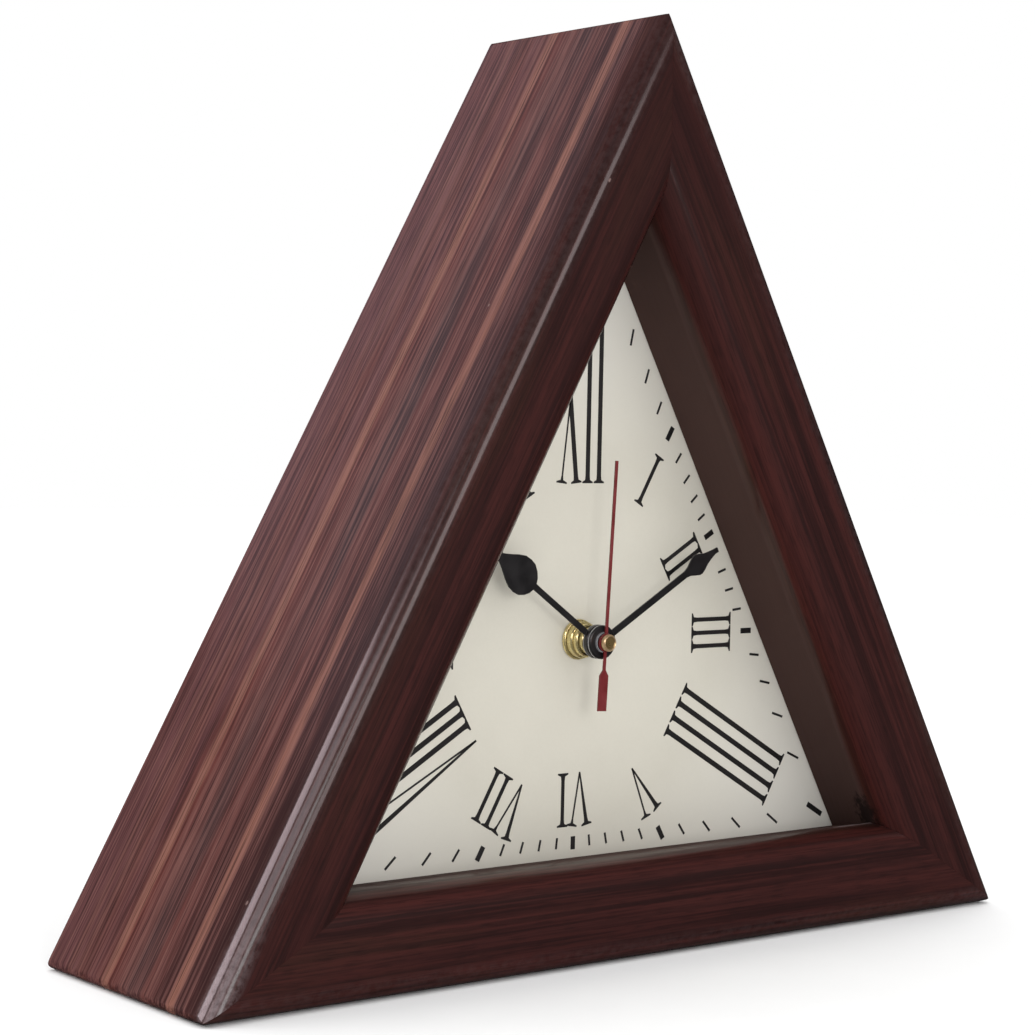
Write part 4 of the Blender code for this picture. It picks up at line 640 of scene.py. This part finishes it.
cornerLean = (math.pi - sideTurn) / 2
glueFilm("rail_left", "glueApex", (1, 0, 0))
glueFilm("rail_base", "glueLeftCorner", (-math.cos(cornerLean), 0, math.sin(cornerLean)))
glueFilm("rail_base", "glueRightCorner", (math.cos(cornerLean), 0, math.sin(cornerLean)))
print("case ready")


# printed hour marks and minute ticks

# places out from the hub and widths, in mm, but the film in metres; point is a share of the stroke's width
dial = {
    "film": 0.05 * mm, "sunk": 0.02 * mm,
    "inner": 46.0, "outer": 62.5, "nearInner": 39.5, "nearOuter": 55.5, "cornerOuter": 96.0,
    "bar": 1.3, "cornerBar": 1.65, "thin": 0.6, "point": 0.35, "serif": 4.0, "serifReach": 2.3,
    "tickInner": 58.5, "tickOuter": 61.8, "wideOuter": 62.4, "tickWide": 1.7, "tickNarrow": 0.75,
}

# outline of a serif: share of its reach along the stroke, share of its flare
serifOutline = ((0.0, 1.0), (0.20, 1.0), (0.24, 0.34), (0.42, 0.12), (1.0, 0.0))


def bar(length, width, serifInner, serifOuter, pointed):
    # one printed stroke, standing on the origin, drawn from its foot (towards the hub) outwards
    bpy.ops.mesh.primitive_cube_add(size=1, location=(0, 0, length / 2 * mm))
    obj = bpy.context.object
    obj.scale = (width * mm, dial["film"] + dial["sunk"], length * mm)
    settlePlace(obj)
    rows = []
    longest = dial["serifReach"]
    for wanted, base, reach in ((serifInner, 0.0, longest), (serifOuter, length, -longest)):
        if wanted:
            rows += [(base + share * reach, flare) for share, flare in serifOutline]
    edit(obj)
    for height, flare in rows:
        if 0 < height < length:
            bpy.ops.mesh.select_all(action="SELECT")
            bpy.ops.mesh.bisect(plane_co=(0, 0, height * mm), plane_no=(0, 0, 1))
    for height, flare in rows:
        wide = width + (dial["serif"] - width) * flare
        selectWhere(obj, lambda v: abs(v.co.z - height * mm) < tiny)
        bpy.ops.transform.resize(value=(wide / width, 1, 1), center_override=(0, 0, 0))
    if pointed:
        selectWhere(obj, lambda v: v.co.z < tiny)
        bpy.ops.transform.resize(value=(dial["point"], 1, 1), center_override=(0, 0, 0))
    leaveEdit()
    return obj


strokeMasters = {}


def stroke(angle, foot, top, width, serifInner=True, serifOuter=True, pointed=False):
    # foot and top are (across, out from the hub) in mm, across being clockwise
    foot, top = Vector(foot), Vector(top)
    length = (top - foot).length
    key = (round(length, 2), width, serifInner, serifOuter, pointed)
    if key not in strokeMasters:
        strokeMasters[key] = bar(*key)
    obj = bpy.data.objects.new("stroke", strokeMasters[key].data.copy())
    scene.collection.objects.link(obj)
    lean = math.atan2(top.x - foot.x, top.y - foot.y)
    radial = Matrix.Rotation(math.radians(angle), 4, "Y")
    place = Matrix.Translation((hub.x, dialFace - (dial["film"] - dial["sunk"]) / 2, hub.z))
    local = Matrix.Translation((foot.x * mm, 0, foot.y * mm)) @ Matrix.Rotation(lean, 4, "Y")
    obj.data.transform(place @ radial @ local)
    return obj


def upright(angle, across, inner, outer, width):
    return [stroke(angle, (across, inner), (across, outer), width)]


def vee(angle, vertex, thick, thin, inner, outer, width):
    return [
        stroke(angle, (vertex, inner), (thick, outer), width, serifInner=False, pointed=True),
        stroke(angle, (vertex, inner), (thin, outer), dial["thin"], serifInner=False),
    ]


def cross(angle, left, right, inner, outer, width):
    return [
        stroke(angle, (right, inner), (left, outer), width),
        stroke(angle, (left, inner), (right, outer), dial["thin"]),
    ]


letterForms = {"I": upright, "V": vee, "X": cross}


def numeral(hour, letters, near, corner):
    inner = dial["nearInner"] if near else dial["inner"]
    outer = dial["nearOuter"] if near else (dial["cornerOuter"] if corner else dial["outer"])
    width = dial["cornerBar"] if corner else dial["bar"]
    parts = []
    for letter, *places in letters:
        parts += letterForms[letter](30 * hour, *places, inner, outer, width)
    mark = joinAll(parts, f"hourMark{hour:02d}")
    smooth(mark, 20)
    dress(mark, ink, "case", "black_paint")


# letters of each hour and where they stand, in mm across the radius
numerals = {
    1: (("I", 0.0),),
    2: (("I", -2.0), ("I", 2.0)),
    3: (("I", -4.1), ("I", 0.0), ("I", 4.1)),
    4: (("I", -7.1), ("I", -2.4), ("I", 2.4), ("I", 7.1)),
    5: (("V", 0.2, -2.8, 2.6),),
    6: (("V", -2.1, -5.2, 0.7), ("I", 4.3)),
    7: (("V", -3.6, -6.6, -1.2), ("I", 2.2), ("I", 6.4)),
    8: (("V", -5.4, -8.4, -2.9), ("I", 0.4), ("I", 4.3), ("I", 8.2)),
    9: (("I", -4.9), ("X", -1.2, 4.9)),
    10: (("X", -3.0, 3.0),),
    11: (("X", -5.2, 0.8), ("I", 4.6)),
    12: (("X", -7.3, -1.6), ("I", 2.7), ("I", 7.1)),
}
for hour, letters in numerals.items():
    numeral(hour, letters, near=hour % 4 == 2, corner=hour % 4 == 0)
print("hour marks ready")

# minute ticks lie radially between two triangles that follow the edge of the dial
sideNormals = (math.degrees(sideTurn), 180.0, 360 - math.degrees(sideTurn))
fineTicks, wideTicks = [], []
for minute in range(60):
    angle = 6 * minute
    slant = max(math.cos(math.radians(angle - normal)) for normal in sideNormals)
    wide = minute % 5 == 0
    inner, outer = dial["tickInner"] / slant, dial["wideOuter" if wide else "tickOuter"] / slant
    width = dial["tickWide"] if wide else dial["tickNarrow"]
    tick = stroke(angle, (0, inner), (0, outer), width, False, False)
    (wideTicks if wide else fineTicks).append(tick)
dress(joinAll(fineTicks, "minuteTicks"), ink, "case", "black_paint")
dress(joinAll(wideTicks, "fiveMinuteTicks"), ink, "case", "black_paint")
for master in strokeMasters.values():
    bpy.data.objects.remove(master)
print("minute ticks ready")


# hands and hub

def refine(pieces):
    # a finer copy of each CAD node takes its place
    for node, name, material, body, slot, edge in pieces:
        dress(weldedCopy(node, name, edge), material, body, slot, node)


# node, name, material, body, slot, round of the edges
hubPieces = (
    ("brass_washer", "hubWasher", brass, "case", "brass", 0.00012),
    ("bush_nut", "hubNut", brass, "case", "brass", 0.00010),
    ("threaded_bush", "threadedBushFine", brass, "case", "brass", 0.00008),
    ("hour_hand", "hourHandFine", hourPaint, "hour_hand", "black_paint", 0.00009),
    ("minute_hand", "minuteHandFine", minutePaint, "minute_hand", "black_paint", 0.00009),
    ("second_hand", "secondHandFine", secondPaint, "second_hand", "red_paint", 0.00007),
    ("second_cap", "secondCapFine", capBrass, "second_hand", "cap_brass", 0.00010),
)
refine(hubPieces)
print("hands and hub ready")


# back: board, movement, battery and hanger

recess = {"long": 2.9 * mm, "wide": 0.62 * mm, "deep": 0.85 * mm, "floor": (0.55, 1, 0.7)}
screwTurns = (12, 50, 31, 74)    # degrees


def crossScrew(node, name, turn):
    # a cross recess sunk into the domed head, narrower at its floor
    low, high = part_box(node)
    middle = (low + high) / 2
    obj = weldedCopy(node, name)
    for quarter in (0, 90):
        bpy.ops.mesh.primitive_cube_add(size=1, location=(middle.x, high.y, middle.z))
        cutter = bpy.context.object
        cutter.scale = (recess["long"], 2 * recess["deep"], recess["wide"])
        cutter.rotation_euler = (0, math.radians(turn + quarter), 0)
        edit(cutter)
        selectWhere(cutter, lambda v: v.co.y < 0)
        bpy.ops.transform.resize(value=recess["floor"], orient_type="LOCAL")
        leaveEdit()
        settlePlace(cutter)
        cut = obj.modifiers.new("cut", "BOOLEAN")
        cut.operation = "DIFFERENCE"
        cut.object = cutter
        applyAll(obj)
        bpy.data.objects.remove(cutter)
    smooth(obj, 30)
    dress(obj, zincSteel, "case", "zinc_steel", node)


for number, turn in enumerate(screwTurns, 1):
    crossScrew(f"hanger_screw_{number}", f"hangerScrewFine{number}", turn)

backPieces = (
    ("movement_case", "movementCaseFine", blackPlastic, "case", "black_plastic", 0.0),
    ("movement_cover", "movementCoverFine", blackPlastic, "case", "black_plastic", 0.0),
    ("setting_knob", "settingKnobFine", blackPlastic, "setting_knob", "black_plastic", 0.0),
    ("hanger_plate", "hangerPlateFine", zincSteel, "case", "zinc_steel", 0.0001),
    ("battery_cell", "batteryFine", sleeve, "battery", "battery", 0.0),
)
refine(backPieces)

# CAD nodes that stay as they are, with a finish each
plainNodes = {
    "dial_card": card, "dial_board": board, "rubber_pad": rubber, "centre_wheel": brass,
    "middle_plate": blackPlastic, "chip_blob": blackPlastic, "coil_winding": copper, "circuit_board": circuit,
}
sharedFinishes = (
    (whitePlastic, ("hour_wheel", "minute_pipe", "motion_wheel", "train_bridge", "coil_bobbin")),
    (whitePlastic, ("third_wheel", "second_wheel", "step_wheel")),
    (iron, ("rotor", "stator", "coil_core")),
    (zincSteel, ("crystal_can", "contact_positive", "contact_negative")),
    (zincSteel, [f"bead_brad_{number}" for number in range(1, 7)]),
    (beech, [f"mitre_dowel_{number}" for number in range(1, 7)]),
)
for material, names in sharedFinishes:
    plainNodes.update({name: material for name in names})
for name, material in plainNodes.items():
    setFinish(nodes[name], material)
print("inner pieces ready")


# floor, light and camera

# the camera's turns are in degrees
studio = {
    "floorSize": 6.0, "floorTop": -0.0002, "floor": 0.97, "aim": (0, 0, 0.11),
    "background": 1.0, "ambient": 1.11, "reflected": 0.05,
    "camera": (-0.4718, -0.5572, 0.1511), "pan": 39.05, "pitch": 2.153, "roll": 1.177, "lens": 85.84,
}

bpy.ops.mesh.primitive_plane_add(size=studio["floorSize"], location=(0, 0, studio["floorTop"]))
floor = bpy.context.object
floor.name = "floor"
floorGraph = Graph("paleFloor")
floorGrain = floorGraph.noise(floorGraph.place, 30.0, 3.0)
floorShade = floorGraph.span(floorGrain, 0.3, 0.7, studio["floor"] - 0.01, studio["floor"] + 0.01)
floor.data.materials.append(floorGraph.finish(floorShade, 0.7, Specular_IOR_Level=0.0))
floor.visible_glossy = False

world = bpy.data.worlds.new("studio")
scene.world = world
world.use_nodes = True
sky = world.node_tree.nodes["Background"]
sky.inputs["Color"].default_value = (1, 1, 1, 1)
rays = world.node_tree.nodes.new("ShaderNodeLightPath")
links = world.node_tree.links
last = sky
for ray, strength in (("Is Glossy Ray", "reflected"), ("Is Camera Ray", "background")):
    other = world.node_tree.nodes.new("ShaderNodeBackground")
    other.inputs["Color"].default_value = (1, 1, 1, 1)
    other.inputs["Strength"].default_value = studio[strength]
    choose = world.node_tree.nodes.new("ShaderNodeMixShader")
    links.new(rays.outputs[ray], choose.inputs[0])
    links.new(last.outputs[0], choose.inputs[1])
    links.new(other.outputs[0], choose.inputs[2])
    last = choose
sky.inputs["Strength"].default_value = studio["ambient"]
links.new(last.outputs[0], world.node_tree.nodes["World Output"].inputs["Surface"])


def areaLight(name, direction, distance, size, power, tint=(1, 1, 1), gloss=True, diffuse=True, spin=0):
    # stands in the given direction from the clock's middle and faces it; spin turns it about its own axis
    light = bpy.data.lights.new(name, "AREA")
    light.shape = "RECTANGLE"
    light.size, light.size_y = size
    light.energy = power
    light.color = tint
    obj = bpy.data.objects.new(name, light)
    scene.collection.objects.link(obj)
    away = Vector(direction).normalized()
    obj.location = Vector(studio["aim"]) + away * distance
    facing = away.to_track_quat("Z", "Y").to_matrix()
    obj.rotation_euler = (facing @ Matrix.Rotation(math.radians(spin), 3, "Z")).to_euler()
    obj.visible_glossy = gloss
    obj.visible_diffuse = diffuse
    obj.visible_camera = False


# name, direction, distance, size, power, tint
areaLight("key", (-0.34, -0.92, 0.14), 1.5, (0.40, 0.40), 4.2)
areaLight("left", (-0.80, 0.22, 0.40), 1.3, (0.9, 0.50), 16.0, (1.0, 0.86, 0.92), diffuse=False)
areaLight("leftFront", (-0.70, -0.55, 0.38), 1.3, (0.8, 0.45), 6.5, (1.0, 0.86, 0.90), diffuse=False)
areaLight(
    "edgeStrip", (0.160, -1.33, 0.316), 1.377, (0.52, 0.70), 7.4, (1.0, 0.88, 0.88), diffuse=False, spin=-28,
)
areaLight("backTop", (-0.24, 0.74, 0.62), 1.6, (0.9, 0.9), 1.1, (0.80, 0.82, 1.0), diffuse=False)
areaLight("overhead", (-0.1, -0.1, 1.0), 2.0, (2.0, 2.0), 6.0, gloss=False)

camera = bpy.data.cameras.new("camera")
camera.sensor_width = 36.0
camera.lens = studio["lens"]
camera.clip_start, camera.clip_end = 0.01, 50.0
cameraObject = bpy.data.objects.new("camera", camera)
scene.collection.objects.link(cameraObject)
pan, pitch, roll = (math.radians(studio[key]) for key in ("pan", "pitch", "roll"))
forward = Vector((math.sin(pan) * math.cos(pitch), math.cos(pan) * math.cos(pitch), -math.sin(pitch)))
right = Vector((math.cos(pan), -math.sin(pan), 0))
up = right.cross(forward)
tiltedRight = right * math.cos(roll) + up * math.sin(roll)
tiltedUp = up * math.cos(roll) - right * math.sin(roll)
turned = Matrix((tiltedRight, tiltedUp, -forward)).transposed().to_4x4()
cameraObject.matrix_world = Matrix.Translation(studio["camera"]) @ turned
scene.camera = cameraObject
scene.view_settings.view_transform = "Standard"
print("stage ready")
